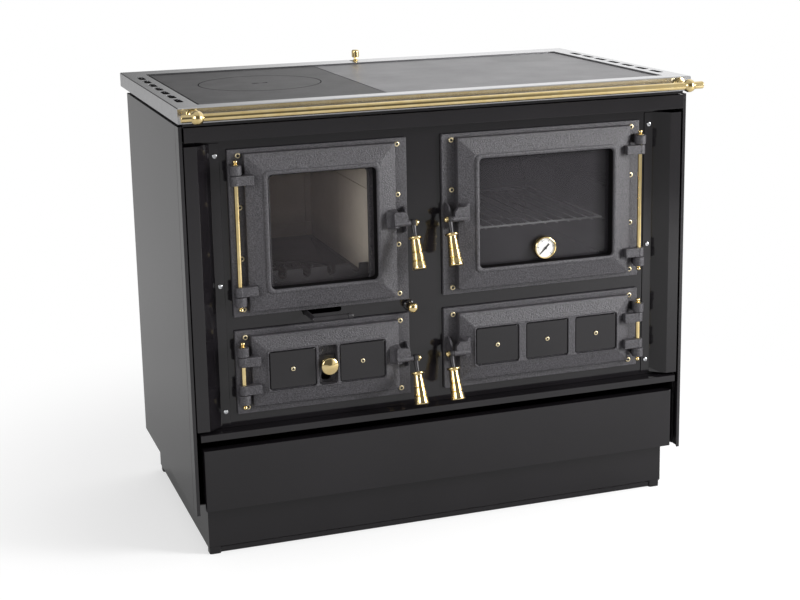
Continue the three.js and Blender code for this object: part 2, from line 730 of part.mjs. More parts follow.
function doorFrame(way) {
  const { frame, hole, rodX, latchX, latchZ, away } = way;
  const heights = hingeHeights(way);
  const slab = loft([[outlineOf(frame), plateSetback - fit],
    [outlineOf(frame), frameFront + frameEase], [outlineOf(frame, -frameEase), frameFront]]);
  const knuckles = heights.knuckles.flatMap(([z0, z1]) => [
    rod(knuckleRadius, z0, z1, [0, 0, 1], [rodX, rodSetback, 0], 14),
    box(...ordered(rodX + away * 5, rodX - away * (rodInset - 1)), rodSetback + 3,
      frameFront + 3, z0, z1)]);
  const bores = heights.knuckles.map(([z0, z1]) =>
    rod(rodRadius + fit, z0 - 1, z1 + 1, [0, 0, 1], [rodX, rodSetback, 0], 12));
  const keeperX = latchX - away * (hubInset + hubLength / 2 + latchClearance + keeperThickness / 2);
  const blade = [[frameFront + 3, latchZ - keeperHalf], [frameFront, latchZ - keeperHalf],
    [frameFront - 14, latchZ - keeperHalf * 0.64], [frameFront - 22, latchZ - keeperHalf * 0.24],
    [frameFront - 22, latchZ + keeperHalf * 0.24], [frameFront - 14, latchZ + keeperHalf * 0.64],
    [frameFront, latchZ + keeperHalf], [frameFront + 3, latchZ + keeperHalf]];
  const keeper = prism('x', blade, keeperX - keeperThickness / 2, keeperX + keeperThickness / 2);
  const mouth = prism('y', outlineOf(hole, 0, mouthRadius), rodSetback, plateSetback + 5);
  piece(`${way.name}_frame`, 'casting', cut(join([slab, ...knuckles, keeper]), [mouth, ...bores]));
}

function hingeRod(way) {
  const { top, bottom } = hingeHeights(way);
  const collar = rodRadius + 1.6;
  const finial = [[0, 10], [finialRadius * 0.7, 9], [finialRadius, 6], [finialRadius * 0.7, 3],
    [collar, 2], [collar, fit], [rodRadius, fit]];
  piece(`${way.name}_hinge_rod`, 'brass', turned([
    ...finial.map(([r, h]) => [r, bottom - h]),
    ...finial.reverse().map(([r, h]) => [r, top + h])], 10, [0, 0, 1], [way.rodX, rodSetback, 0]));
}

// ---------------------------------------------------------------- doors
/** Straps that wrap the hinge rod and run onto the door's sloping border. */
function straps(way) {
  const { rodX, door, hinge } = way;
  const edge = hinge < 0 ? door.x0 : door.x1;
  const end = edge - hinge * strapLap;
  return hingeHeights(way).straps.flatMap(([z0, z1]) => [
    rod(strapRadius, z0, z1, [0, 0, 1], [rodX, rodSetback, 0], 14),
    box(...ordered(rodX, end), rodSetback - strapRadius + 0.5, rodSetback + 3, z0, z1),
    box(...ordered(edge, end), rodSetback, doorEdgeFront + 6, z0, z1)]);
}

/** Arm that carries the latch lever past the door's edge: boss, web and shaft housing. */
function latchArm(way) {
  const { latchX, latchZ, away, door, hinge } = way;
  const edge = hinge < 0 ? door.x1 : door.x0;
  const root = edge - away * armPast;
  const hubFace = latchX - away * (hubInset + hubLength / 2 + latchClearance / 2);
  const keeperFace = latchX - away * (hubInset + hubLength / 2 + 2 * latchClearance + keeperThickness);
  const boss = loft([
    [rectangle(...ordered(root - away * 8, edge - away), latchZ - 22, latchZ + 24), doorEdgeFront],
    [rectangle(...ordered(edge - away * 11, edge - away * 2), latchZ - 8, latchZ + 22), latchSetback - 3]]);
  const web = box(...ordered(edge - away * 8, keeperFace), latchSetback - 4, latchSetback + 5,
    latchZ, latchZ + 22);
  const housing = turned([[0, 0], [armRadius, 0], [armRadius, Math.abs(hubFace - root)],
    [0, Math.abs(hubFace - root)]], 12, [away, 0, 0], [root, latchSetback, latchZ]);
  return [boss, web, housing];
}

function doorCasting(way, bevel, bead) {
  const { door } = way;
  const beadRing = inset(door, bevel);
  const slab = loft([[outlineOf(door), doorBack], [outlineOf(door), doorEdgeFront],
    [outlineOf(beadRing), bevelTop]]);
  const rim = loft([[outlineOf(beadRing, 1, beadRadius + 1), bevelTop + 3],
    [outlineOf(beadRing, 0, beadRadius), beadFront + 1],
    [outlineOf(beadRing, -1.4, beadRadius - 1.4), beadFront]]);
  const strapBodies = straps(way);
  const eyes = hingeHeights(way).straps.map(([z0, z1]) =>
    rod(rodRadius + rodClearance, z0 - 1, z1 + 1, [0, 0, 1], [way.rodX, rodSetback, 0], 12));
  const body = cut(join([slab, rim, ...strapBodies, ...latchArm(way)]), eyes);
  return { body, window: inset(beadRing, bead) };
}

function glazedDoor(way, glassKind) {
  const { body, window } = doorCasting(way, upperBevel, beadWidth);
  const glassFront = doorBack - glassInset - glassThickness;
  const rebate = prism('y', outlineOf(window, glassLap + fit, 6), glassFront - fit, doorBack + 1);
  const through = prism('y', outlineOf(window, 0, mouthRadius), beadFront - 5, doorBack + 1);
  piece(`${way.name}_door`, 'casting', cut(body, [rebate, through]));
  piece(`${way.name}_glass`, glassKind, prism('y', outlineOf(window, glassLap, 5.7), glassFront,
    doorBack - glassInset));
  return { window, glassFront };
}

/** Centres and half widths of the square recesses, left to right. */
function recesses(window, count, bar) {
  const size = (window.x1 - window.x0 - (count - 1) * bar) / count;
  return Array.from({ length: count }, (_, i) => {
    const x0 = window.x0 + i * (size + bar);
    return { ...window, x0, x1: x0 + size };
  });
}

function panelDoor(way, count, bar, extraCuts = () => []) {
  const { body, window } = doorCasting(way, lowerBevel, lipWidth);
  const floor = beadFront + plateRecess;
  const wells = recesses(window, count, bar);
  const pockets = wells.map((well) => prism('y', outlineOf(well, 0, 5), beadFront - 5, floor));
  piece(`${way.name}_door`, 'casting', cut(body, [...pockets, ...extraCuts(window)]));
  const back = floor - fit;
  wells.forEach((well, i) => piece(`${way.name}_door_plate_${i + 1}`, 'enamel', loft([
    [outlineOf(well, -plateClearance, 4), back],
    [outlineOf(well, -plateClearance, 4), back - insetPlate + 0.6],
    [outlineOf(well, -plateClearance - 0.6, 3.4), back - insetPlate]])));
  return window;
}

// ---------------------------------------------------------------- latch levers
function lever(way) {
  const group = new THREE.Group();
  group.position.set(way.latchX - way.away * hubInset, latchSetback, way.latchZ);
  stove.add(group);
  const tilt = gripTilt * Math.PI / 180;
  const down = [0, -Math.sin(tilt), -Math.cos(tilt)];
  const half = hubLength / 2;
  const hub = rod(hubRadius, -half, half, [1, 0, 0], [0, 0, 0], 14);
  const stem = rod(stemRadius, 0, stemLength, down, [0, 0, 0], 10);
  const nose = prism('x', [[0, -5], [noseLength, -3], [noseLength, 2], [0, 6]], -half, half);
  const nut = turned([[0, half - 1], [nutRadius, half - 1], [nutRadius, half + nutLength * 0.4],
    [nutRadius * 0.8, half + nutLength * 0.7], [0, half + nutLength]], 10, [way.away, 0, 0]);
  piece(`${way.name}_lever`, 'iron', join([hub, stem, nose, nut]), group);
  const end = stemLength + gripLength;
  const grip = turned([[0, stemLength + fit], [gripCollar - 1.2, stemLength + fit],
    [gripCollar, stemLength + 1.5], [gripCollar, stemLength + 4], [gripNeck, stemLength + 6],
    [gripNeck + 0.2, stemLength + 8], [gripEnd - 1.2, end - 6], [gripEnd, end - 4],
    [gripEnd, end - 1.5], [gripEnd - 1.8, end], [0, end]], 14, down);
  piece(`${way.name}_grip`, 'brass', grip, group);
}

// ---------------------------------------------------------------- door fittings
function thermometer(way, glassFront) {
  const group = new THREE.Group();
  group.position.set((way.door.x0 + way.door.x1) / 2, glassFront - fit, way.door.z0 + bezelHeight);
  stove.add(group);
  const dialAt = bezelDepth - dialDepth;
  piece('thermometer', 'brass', turned([[0, 0], [bezelRadius - 2, 0], [bezelRadius, 2],
    [bezelRadius, bezelDepth - 1.5], [bezelRadius - 1.5, bezelDepth], [bezelRadius - 3, bezelDepth],
    [bezelRadius - 4, dialAt], [0, dialAt]], 28, [0, -1, 0]), group);
  const reach = bezelRadius - 6;
  const tail = bezelRadius - 12;
  const pointer = [[-tail, -1.5], [-2, -1.2], [2, -1.4], [reach, -0.4], [reach, 0.4], [2, 1.4],
    [-2, 1.2], [-tail, 1.5]];
  const needle = join([prism('y', pointer, -dialAt - 1.2, -dialAt - fit),
    rod(2.4, dialAt + fit, dialAt + 2.2, [0, -1, 0], [0, 0, 0], 10)]);
  const hand = piece('thermometer_needle', 'iron', needle, group);
  hand.rotation.y = needleRest * Math.PI / 180;
}

const airPocket = (window) => {
  const middle = (window.x0 + window.x1) / 2;
  return { x0: middle - airSlotWidth / 2, x1: middle + airSlotWidth / 2, z0: window.z0, z1: window.z1 };
};

/** Slider plate with its brass knob: up it opens the air hole, down it covers it. */
function airSlider(way, window) {
  const pocket = airPocket(window);
  const group = new THREE.Group();
  group.position.set((pocket.x0 + pocket.x1) / 2, doorBack - airSlotDeep - fit,
    (pocket.z0 + pocket.z1) / 2);
  stove.add(group);
  const half = airSlotWidth / 2 - 1;
  const plate = prism('y', rounded(-half, half, -airPlate.height / 2, airPlate.height / 2,
    airPlate.corner), -airPlate.thickness, 0);
  const stem = rod(3.5, 2, 13, [0, -1, 0], [0, 0, 0], 12);
  const knob = turned([[0, 12], [7, 12], [6, 20], [airKnobRadius - 1.5, 24], [airKnobRadius, 26],
    [airKnobRadius - 1, 29], [airKnobRadius * 0.6, 31.5], [0, 32.5]], 20, [0, -1, 0]);
  piece('air_slider', 'brass', join([plate, stem, knob]), group);
}

/** Cuts in the ash door: the slot the slider runs in, and the air hole behind it. */
function airCuts(window) {
  const pocket = airPocket(window);
  const middle = (pocket.z0 + pocket.z1) / 2;
  const top = middle - airHole.low;
  const hole = rounded(pocket.x0 + airHole.inset, pocket.x1 - airHole.inset, top - airHole.height,
    top, 4, 2);
  return [prism('y', outlineOf(pocket, 0, 6), beadFront - 5, doorBack - airSlotDeep),
    prism('y', hole, doorBack - airSlotDeep - 1, doorBack + 1)];
}

function pullKnobPiece() {
  const { x, z } = pullKnob;
  const knob = turned([[0, -60], [3, -60], [3, pullKnobReach - 9], [5, pullKnobReach - 8],
    [pullKnobRadius, pullKnobReach - 1], [pullKnobRadius, pullKnobReach + 4],
    [pullKnobRadius * 0.8, pullKnobReach + 8], [0, pullKnobReach + 10]], 16, [0, -1, 0],
  [x, plateSetback, z]);
  piece('air_pull_knob', 'brass', knob);
}

// ---------------------------------------------------------------- firebox
const linerX = {
  x0: DOORS.firebox.hole.x0 - brickSetback - brick,
  x1: DOORS.firebox.hole.x1 + brickSetback + brick,
};

function firebox() {
  const y0 = plateBack + 2;
  const y1 = brickBack;
  const top = plateUnderside - 4;
  const inner = { x0: linerX.x0 + brick, x1: linerX.x1 - brick };
  const bottom = hearthTop + fit;
  piece('firebox_bricks', 'brick', box(linerX.x0, linerX.x1, y0, y1, bottom, top).subtract(
    box(inner.x0, inner.x1, y0 - 1, y1 - brick, bottom - 1, top + 1)));

  const { x, y } = grateCentre;
  const ledgeZ = hearthBottom + 6;
  const basin = stack([
    [rounded(x - grateRadius, x + grateRadius, y - grateRadius, y + grateRadius, grateRadius - 1, 6),
      ledgeZ + grateThickness + 1],
    [rounded(inner.x0 + 8, inner.x1 - 8, y0 + 24, y1 - brick - 8, 10, 6), hearthTop + 1]]);
  const well = rod(grateRadius + 1.5, ledgeZ, ledgeZ + grateThickness + 2, [0, 0, 1], [x, y, 0], 28);
  const throat = rod(grateRadius - grateLedge, hearthBottom - 1, ledgeZ + 1, [0, 0, 1], [x, y, 0], 28);
  piece('hearth', 'iron', cut(box(linerX.x0, linerX.x1, y0, y1, hearthBottom, hearthTop),
    [basin, well, throat]));
  grate(ledgeZ + fit);
  logGuard(y0);
}

/** Round grate with its bars, hub, shaker rod and the bent handle in front of the stove. */
function grate(z0) {
  const group = new THREE.Group();
  group.position.set(grateCentre.x, grateCentre.y, 0);
  stove.add(group);
  const disc = rod(grateRadius, z0, z0 + grateThickness - 1, [0, 0, 1], [0, 0, 0], 28);
  const gaps = [];
  const outermost = Math.floor((grateRadius - grateBars.rim - grateBars.gap) / grateBars.pitch);
  for (let i = -outermost; i <= outermost; i += 1) {
    const x = i * grateBars.pitch;
    const reach = Math.sqrt((grateRadius - grateBars.rim) ** 2 - x ** 2);
    gaps.push(box(x - grateBars.gap / 2, x + grateBars.gap / 2, -reach, reach, z0 - 1,
      z0 + grateThickness));
  }
  const bars = cut(disc, gaps);
  const hubBar = box(-30, 30, -12, 12, z0, z0 + grateThickness - 1);
  const hub = rod(10, shakerZ - shakerRadius, z0 + 2, [0, 0, 1], [0, 0, 0], 12);
  const side = -shakerArm * Math.tan(shakerAngle * Math.PI / 180);
  const bends = [[0, 0], [side, -shakerArm + 14], [side, -shakerArm - shakerReach],
    [side + shakerHandle, -shakerArm - shakerReach]].map(([x, y]) => [x, y, shakerZ]);
  const lengths = bends.slice(1).flatMap((end, i) => {
    const start = new THREE.Vector3(...bends[i]);
    const run = new THREE.Vector3(...end).sub(start);
    const knee = new THREE.SphereGeometry(shakerRadius, 8, 6);
    knee.translate(...end);
    return [rod(shakerRadius, 0, run.length(), run.toArray(), bends[i], 8), solid(knee)];
  });
  piece('grate', 'iron', join([bars, hubBar, hub, ...lengths]), group);
}

function logGuard(y0) {
  const { hole } = DOORS.firebox;
  const top = hole.z0 + guardHeight;
  const notches = [-1.5, -0.5, 0.5, 1.5].map((step) => {
    const x = (hole.x0 + hole.x1) / 2 + step * guardNotch.pitch;
    return prism('y', rounded(x - guardNotch.width / 2, x + guardNotch.width / 2,
      top - guardNotch.deep, top + guardNotch.deep, guardNotch.width / 2 - 0.1, 4), y0,
    y0 + guardSetback + guardThickness + 1);
  });
  const plate = box(hole.x0 - brickSetback + 1, hole.x1 + brickSetback - 1, y0 + guardSetback,
    y0 + guardSetback + guardThickness, hearthTop + fit, top);
  piece('log_guard', 'iron', cut(plate, notches));
}

// ---------------------------------------------------------------- oven and lower compartments
/** Open-fronted sheet box behind a door mouth, with `grow` all round the mouth. */
function chamber(hole, wall, deep, grow) {
  const inner = {
    x0: hole.x0 - grow, x1: hole.x1 + grow, z0: hole.z0 - grow, z1: hole.z1 + grow,
  };
  const outer = { x0: inner.x0 - wall, x1: inner.x1 + wall, z0: inner.z0 - wall, z1: inner.z1 + wall };
  const y0 = plateBack + fit;
  const shell = box(outer.x0, outer.x1, y0, y0 + deep, outer.z0, outer.z1);
  return { shell, hollow: box(inner.x0, inner.x1, y0 - 1, y0 + deep - wall, inner.z0, inner.z1), inner, y0 };
}

function oven() {
  const deep = cabinetBack - ovenRear - plateBack - fit;
  const { shell, hollow, inner, y0 } = chamber(DOORS.oven.hole, ovenWall, deep, ovenGrow);
  const { reach, thickness, front, rear } = rackGuide;
  const guides = [];
  for (let z = inner.z0 + rackAbove; z < inner.z1 - rackStep / 2; z += rackStep) {
    for (const side of [[inner.x0 - 1, inner.x0 + reach], [inner.x1 - reach, inner.x1 + 1]]) {
      guides.push(box(...side, y0 + front, y0 + deep - rear, z - thickness, z));
    }
  }
  piece('oven_box', 'iron', join([shell.subtract(hollow), ...guides]));
  ovenRack(inner, inner.z0 + rackAbove + fit, y0 + rackInset.front, y0 + deep - rackInset.rear);
}

/** Wire rack: a square border with thinner wires running front to back. */
function ovenRack(inner, z, from, to) {
  const x0 = inner.x0 + rackInset.side;
  const x1 = inner.x1 - rackInset.side;
  const wires = [box(x0, x1, from, from + rackWire, z, z + rackWire),
    box(x0, x1, to - rackWire, to, z, z + rackWire),
    box(x0, x0 + rackWire, from, to, z, z + rackWire),
    box(x1 - rackWire, x1, from, to, z, z + rackWire)];
  const count = Math.floor((x1 - x0 - 2 * rackWire) / rackPitch);
  const first = (x0 + x1) / 2 - (count - 1) * rackPitch / 2;
  const low = z + (rackWire - rackBar) / 2;
  for (let i = 0; i < count; i += 1) {
    const x = first + i * rackPitch;
    wires.push(box(x - rackBar / 2, x + rackBar / 2, from + 1, to - 1, low, low + rackBar));
  }
  piece('oven_rack', 'steel', join(wires));
}

function lowerCompartments() {
  const deep = cabinetBack - compartmentRear - plateBack - fit;
  const { inner, y0 } = chamber(DOORS.ash.hole, ashWall, deep, compartmentGrow);
  const roof = hearthBottom - fit;
  const outer = box(inner.x0 - ashWall, inner.x1 + ashWall, y0, y0 + deep, inner.z0 - ashWall, roof);
  const shaft = box(inner.x0, inner.x1, y0 - 1, y0 + deep - ashWall, inner.z0, roof + 1);
  piece('ash_compartment', 'iron', outer.subtract(shaft));
  const { hole } = DOORS.ash;
  const { side, front, rear, wall, below } = ashPan;
  const floor = inner.z0 + fit;
  const top = hole.z1 - below;
  const pan = (by, from) => box(hole.x0 + side + by, hole.x1 - side - by, y0 + front + by,
    y0 + deep - rear - by, from, by ? top + 1 : top);
  piece('ash_pan', 'iron', pan(0, floor).subtract(pan(wall, floor + wall)));
  const lower = chamber(DOORS.lower.hole, ashWall, deep, compartmentGrow);
  piece('lower_compartment', 'iron', lower.shell.subtract(lower.hollow));
}

// ---------------------------------------------------------------- drawer
function drawer() {
  const half = cabinetHalf - drawerInset;
  const front = trimSetback;
  const top = drawerBottom + drawerHeight;
  const { wide, mid } = drawerEdge;
  const back = front + drawerFrontDepth;
  const face = prism('z', [[-half, front + wide], [-half + mid, front + mid], [-half + wide, front],
    [half - wide, front], [half - mid, front + mid], [half, front + wide], [half, back],
    [-half, back]], drawerBottom, top);
  const pocket = box(-half + sheet, half - sheet, front + sheet, back - sheet,
    drawerBottom - 1, top - sheet);
  const tray = half - trayInset;
  const y0 = back - 1;
  const y1 = cabinetBack - drawerRear;
  const z0 = drawerBottom + trayRise;
  const body = box(-tray, tray, y0, y1, z0, z0 + drawerWall);
  const hollow = box(-tray + sheet, tray - sheet, y0 + 1 + sheet, y1 - sheet, z0 + sheet,
    z0 + drawerWall + 1);
  piece('drawer', 'enamel', join([face.subtract(pocket), body.subtract(hollow)]));
}

// ---------------------------------------------------------------- assembly
cabinet();
plinth();
worktop();
hobPlates();
damper();
towelRail();
frontPlate();
fasciaAndSill();
pillarTrims();
Object.values(DOORS).forEach(doorFrame);
Object.values(DOORS).forEach(hingeRod);
glazedDoor(DOORS.firebox, 'glass');
const ovenDoor = glazedDoor(DOORS.oven, 'darkGlass');
thermometer(DOORS.oven, ovenDoor.glassFront);
const ashWindow = panelDoor(DOORS.ash, 2, airSlotWidth + 2 * airSlotBar, airCuts);
airSlider(DOORS.ash, ashWindow);
panelDoor(DOORS.lower, 3, plateBar);
Object.values(DOORS).forEach(lever);
pullKnobPiece();
firebox();
oven();
lowerCompartments();
drawer();

const bounds = new THREE.Box3().setFromObject(stove);
stove.position.y = -(bounds.min.y + bounds.max.y) / 2;
stove.updateMatrixWorld(true);

export default stove;
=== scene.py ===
import json
import math

import bmesh
import bpy
from mathutils import Matrix, Vector

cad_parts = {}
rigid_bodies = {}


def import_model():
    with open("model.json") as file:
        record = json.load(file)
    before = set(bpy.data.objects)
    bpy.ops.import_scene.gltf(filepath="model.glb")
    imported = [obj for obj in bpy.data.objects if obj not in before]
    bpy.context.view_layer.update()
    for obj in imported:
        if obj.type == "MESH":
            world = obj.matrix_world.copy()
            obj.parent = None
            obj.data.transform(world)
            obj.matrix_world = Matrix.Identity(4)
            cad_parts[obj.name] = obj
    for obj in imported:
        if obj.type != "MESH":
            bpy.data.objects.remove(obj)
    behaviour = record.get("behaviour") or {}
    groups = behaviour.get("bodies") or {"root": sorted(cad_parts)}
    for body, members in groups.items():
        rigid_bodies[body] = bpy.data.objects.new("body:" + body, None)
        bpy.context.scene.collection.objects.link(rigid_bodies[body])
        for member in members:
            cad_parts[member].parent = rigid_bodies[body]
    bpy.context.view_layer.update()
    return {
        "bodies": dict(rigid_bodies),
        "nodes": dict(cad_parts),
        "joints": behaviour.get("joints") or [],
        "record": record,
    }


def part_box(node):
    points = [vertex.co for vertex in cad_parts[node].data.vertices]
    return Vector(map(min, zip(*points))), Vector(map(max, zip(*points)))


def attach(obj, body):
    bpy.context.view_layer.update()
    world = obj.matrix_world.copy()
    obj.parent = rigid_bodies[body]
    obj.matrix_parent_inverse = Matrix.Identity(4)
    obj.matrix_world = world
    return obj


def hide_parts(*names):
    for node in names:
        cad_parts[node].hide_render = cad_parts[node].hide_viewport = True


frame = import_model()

MM = 0.001
NODES = frame["nodes"]
JOINTS = {joint["name"]: joint for joint in frame["joints"]}
BODY_OF = {node: body for body, members in frame["record"]["behaviour"]["bodies"].items()
           for node in members}
SLOT_OF = {part["node"]: part["material_slot"] for part in frame["record"]["subparts"]}
UP = Vector((0, 0, 1))
FRONT = Vector((0, -1, 0))
RIGHT = Vector((1, 0, 0))


# ---------------------------------------------------------------- finishes
class Finish:
    """A material under construction: its node tree, its shader and its object coordinates."""

    def __init__(self, name, colour, roughness, metallic=0.0, **sockets):
        self.material = bpy.data.materials.new(name)
        self.material.use_nodes = True
        self.tree = self.material.node_tree
        self.shader = self.tree.nodes["Principled BSDF"]
        self.set("Base Color", colour)
        self.set("Roughness", roughness)
        self.set("Metallic", metallic)
        for socket, value in sockets.items():
            self.set(socket.replace("_", " "), value)
        self.place = self.node("ShaderNodeTexCoord").outputs["Object"]

    def node(self, kind, **settings):
        made = self.tree.nodes.new(kind)
        for name, value in settings.items():
            setattr(made, name, value)
        return made

    def feed(self, socket, value):
        """Links an output to an input, or sets the input's own value."""
        if isinstance(value, bpy.types.NodeSocket):
            self.tree.links.new(value, socket)
        else:
            if socket.type == "RGBA" and len(value) == 3:
                value = (*value, 1.0)
            socket.default_value = value

    def set(self, name, value):
        """Feeds one of the shader's own sockets."""
        self.feed(self.shader.inputs[name], value)

    def grain(self, size, detail=3.0, stretch=(1, 1, 1), roughness=0.55):
        """Noise of the given feature size in metres, stretched along the axes."""
        mapping = self.node("ShaderNodeMapping")
        self.feed(mapping.inputs["Vector"], self.place)
        mapping.inputs["Scale"].default_value = [1 / (size * s) for s in stretch]
        texture = self.node("ShaderNodeTexNoise")
        texture.inputs["Scale"].default_value = 1.0
        texture.inputs["Detail"].default_value = detail
        texture.inputs["Roughness"].default_value = roughness
        self.feed(texture.inputs["Vector"], mapping.outputs[0])
        return texture.outputs["Fac"]

    def spread(self, value, low, high, start=0.3, end=0.7):
        """Maps a texture's values from start..end onto low..high."""
        ranged = self.node("ShaderNodeMapRange")
        self.feed(ranged.inputs["Value"], value)
        for name, number in (("From Min", start), ("From Max", end), ("To Min", low), ("To Max", high)):
            self.feed(ranged.inputs[name], number)
        return ranged.outputs["Result"]

    def blend(self, factor, first, second):
        """Mixes two colours or outputs by a factor."""
        mix = self.node("ShaderNodeMix", data_type="RGBA")
        self.feed(mix.inputs["Factor"], factor)
        self.feed(mix.inputs["A"], first)
        self.feed(mix.inputs["B"], second)
        return mix.outputs["Result"]

    def bump(self, *layers):
        """Relief of one or more layers, each (height, depth in metres)."""
        normal = None
        for height, depth in layers:
            bump = self.node("ShaderNodeBump")
            bump.inputs["Strength"].default_value = 1.0
            bump.inputs["Distance"].default_value = depth
            self.feed(bump.inputs["Height"], height)
            if normal is not None:
                self.feed(bump.inputs["Normal"], normal)
            normal = bump.outputs["Normal"]
        self.feed(self.shader.inputs["Normal"], normal)


def casting_paint():
    """Charcoal paint over a cast surface, with a fine orange-peel texture."""
    paint = Finish("casting_paint", (0.05, 0.05, 0.054), 0.42, Specular_IOR_Level=0.5)
    peel = paint.grain(0.0027, 2.0, roughness=0.6)
    pits = paint.grain(0.0012, 1.0)
    cloud = paint.grain(0.07, 3.0)
    tone = paint.blend(paint.spread(peel, 0, 1, 0.35, 0.65), (0.026, 0.0245, 0.028), (0.082, 0.078, 0.087))
    tone = paint.blend(paint.spread(cloud, 0, 0.35), tone, (0.051, 0.048, 0.054))
    paint.set("Base Color", tone)
    paint.set("Roughness", paint.spread(peel, 0.36, 0.5, 0.35, 0.65))
    paint.bump((peel, 0.0011), (pits, 0.0005))
    return paint.material


def enamel(name, colour, roughness):
    """Smooth vitreous enamel: a slow ripple, and dust in the gloss."""
    coat = Finish(name, colour, roughness, Specular_IOR_Level=0.5)
    wave = coat.grain(0.03, 2.0)
    dust = coat.grain(0.004, 4.0, roughness=0.7)
    cloud = coat.grain(0.16, 3.0)
    lighter = tuple(c * 1.35 for c in colour)
    coat.set("Base Color", coat.blend(coat.spread(cloud, 0, 1), colour, lighter))
    coat.set("Roughness", coat.spread(dust, roughness * 0.85, roughness * 1.2))
    coat.bump((wave, 0.00006), (dust, 0.000012))
    return coat.material


def satin_steel():
    """Stainless sheet brushed along its length."""
    steel = Finish("satin_steel", (0.6, 0.6, 0.61), 0.2, 1.0)
    brush = steel.grain(0.0007, 2.0, (90, 1, 1))
    broad = steel.grain(0.012, 2.0, (14, 1, 1))
    steel.set("Base Color", steel.blend(steel.spread(broad, 0, 1), (0.56, 0.56, 0.575), (0.66, 0.66, 0.67)))
    steel.set("Roughness", steel.spread(brush, 0.14, 0.24))
    steel.bump((brush, 0.000012))
    return steel.material


def ground_iron():
    """Ground and oiled cast iron of the left hob plate."""
    iron = Finish("ground_iron", (0.12, 0.12, 0.12), 0.45, 0.35)
    grind = iron.grain(0.0014, 3.0)
    heat = iron.grain(0.05, 4.0)
    iron.set("Base Color", iron.blend(iron.spread(heat, 0, 1), (0.05, 0.0485, 0.051), (0.085, 0.083, 0.086)))
    iron.set("Roughness", iron.spread(grind, 0.38, 0.55))
    iron.bump((grind, 0.00006))
    return iron.material


def bloomed_steel(centre, radius):
    """Satin hob plate with mottled heat marks and a faint darker disc."""
    steel = Finish("bloomed_steel", (0.3, 0.3, 0.31), 0.42, 0.8)
    grind = steel.grain(0.0012, 3.0)
    cloud = steel.grain(0.09, 4.0)
    tone = steel.blend(steel.spread(cloud, 0, 1), (0.23, 0.225, 0.235), (0.31, 0.305, 0.315))
    mapping = steel.node("ShaderNodeMapping")
    mapping.inputs["Location"].default_value = [-c for c in centre]
    steel.feed(mapping.inputs["Vector"], steel.place)
    length = steel.node("ShaderNodeVectorMath", operation="LENGTH")
    steel.feed(length.inputs[0], mapping.outputs[0])
    disc = steel.spread(length.outputs["Value"], 0.45, 0, radius * 0.86, radius)
    steel.set("Base Color", steel.blend(disc, tone, (0.2, 0.2, 0.205)))
    steel.set("Roughness", steel.spread(grind, 0.36, 0.5))
    steel.bump((grind, 0.00005))
    return steel.material


def polished_brass():
    """Lacquered brass with faint polishing marks and a few duller clouds."""
    brass = Finish("polished_brass", (0.8, 0.63, 0.31), 0.16, 1.0)
    marks = brass.grain(0.0012, 2.0)
    cloud = brass.grain(0.02, 3.0)
    brass.set("Base Color", brass.blend(brass.spread(cloud, 0, 1), (0.84, 0.68, 0.37), (0.74, 0.56, 0.25)))
    brass.set("Roughness", brass.spread(cloud, 0.07, 0.15))
    brass.bump((marks, 0.000015))
    return brass.material


def black_iron():
    """Blackened cast iron for levers, grate and hearth."""
    iron = Finish("black_iron", (0.024, 0.023, 0.025), 0.36, 0.3)
    skin = iron.grain(0.0016, 3.0)
    cloud = iron.grain(0.03, 3.0)
    iron.set("Base Color", iron.blend(iron.spread(cloud, 0, 1), (0.018, 0.017, 0.019), (0.036, 0.034, 0.037)))
    iron.set("Roughness", iron.spread(skin, 0.28, 0.46))
    iron.bump((skin, 0.0001))
    return iron.material


def firebrick():
    """Pressed refractory, darker towards the bottom and mottled by heat."""
    brick = Finish("firebrick", (0.6, 0.54, 0.45), 0.9)
    speckle = brick.grain(0.004, 4.0, roughness=0.7)
    cloud = brick.grain(0.06, 4.0)
    tone = brick.blend(brick.spread(speckle, 0, 1), (0.72, 0.64, 0.55), (0.88, 0.81, 0.71))
    tone = brick.blend(brick.spread(cloud, 0, 0.5), tone, (0.62, 0.55, 0.46))
    height = brick.node("ShaderNodeSeparateXYZ")
    brick.feed(height.inputs[0], brick.place)
    # darker towards the bottom of the lining
    low_darkening = brick.spread(height.outputs["Z"], 0.4, 0.0, 0.51, 0.56)
    brick.set("Base Color", brick.blend(low_darkening, tone, (0.13, 0.115, 0.1)))
    brick.bump((speckle, 0.0006), (cloud, 0.001))
    return brick.material


def tinted_glass(name, colour, alpha):
    """Thin pane that shows what is behind it by its alpha and mirrors at a slant."""
    glass = Finish(name, colour, 0.04, Alpha=alpha)
    smear = glass.grain(0.05, 3.0)
    glass.set("Roughness", glass.spread(smear, 0.03, 0.09))
    tone = tuple(c * 1.3 for c in colour)
    glass.set("Base Color", glass.blend(glass.spread(smear, 0, 1), colour, tone))
    return glass.material


def bright_metal(name, colour, roughness, metallic=1.0):
    """Plated or bare small parts with a slight cloud in their gloss."""
    metal = Finish(name, colour, roughness, metallic)
    cloud = metal.grain(0.006, 3.0)
    metal.set("Roughness", metal.spread(cloud, roughness * 0.8, roughness * 1.3))
    metal.bump((cloud, 0.00002))
    return metal.material


def matt(name, colour, roughness=0.6, gloss=0.5):
    """Plain printed or painted small surface with a trace of grain."""
    paint = Finish(name, colour, roughness, Specular_IOR_Level=gloss)
    speck = paint.grain(0.002, 2.0)
    darker = tuple(c * 0.9 for c in colour)
    paint.set("Base Color", paint.blend(paint.spread(speck, 0, 1), colour, darker))
    paint.bump((speck, 0.00001))
    return paint.material


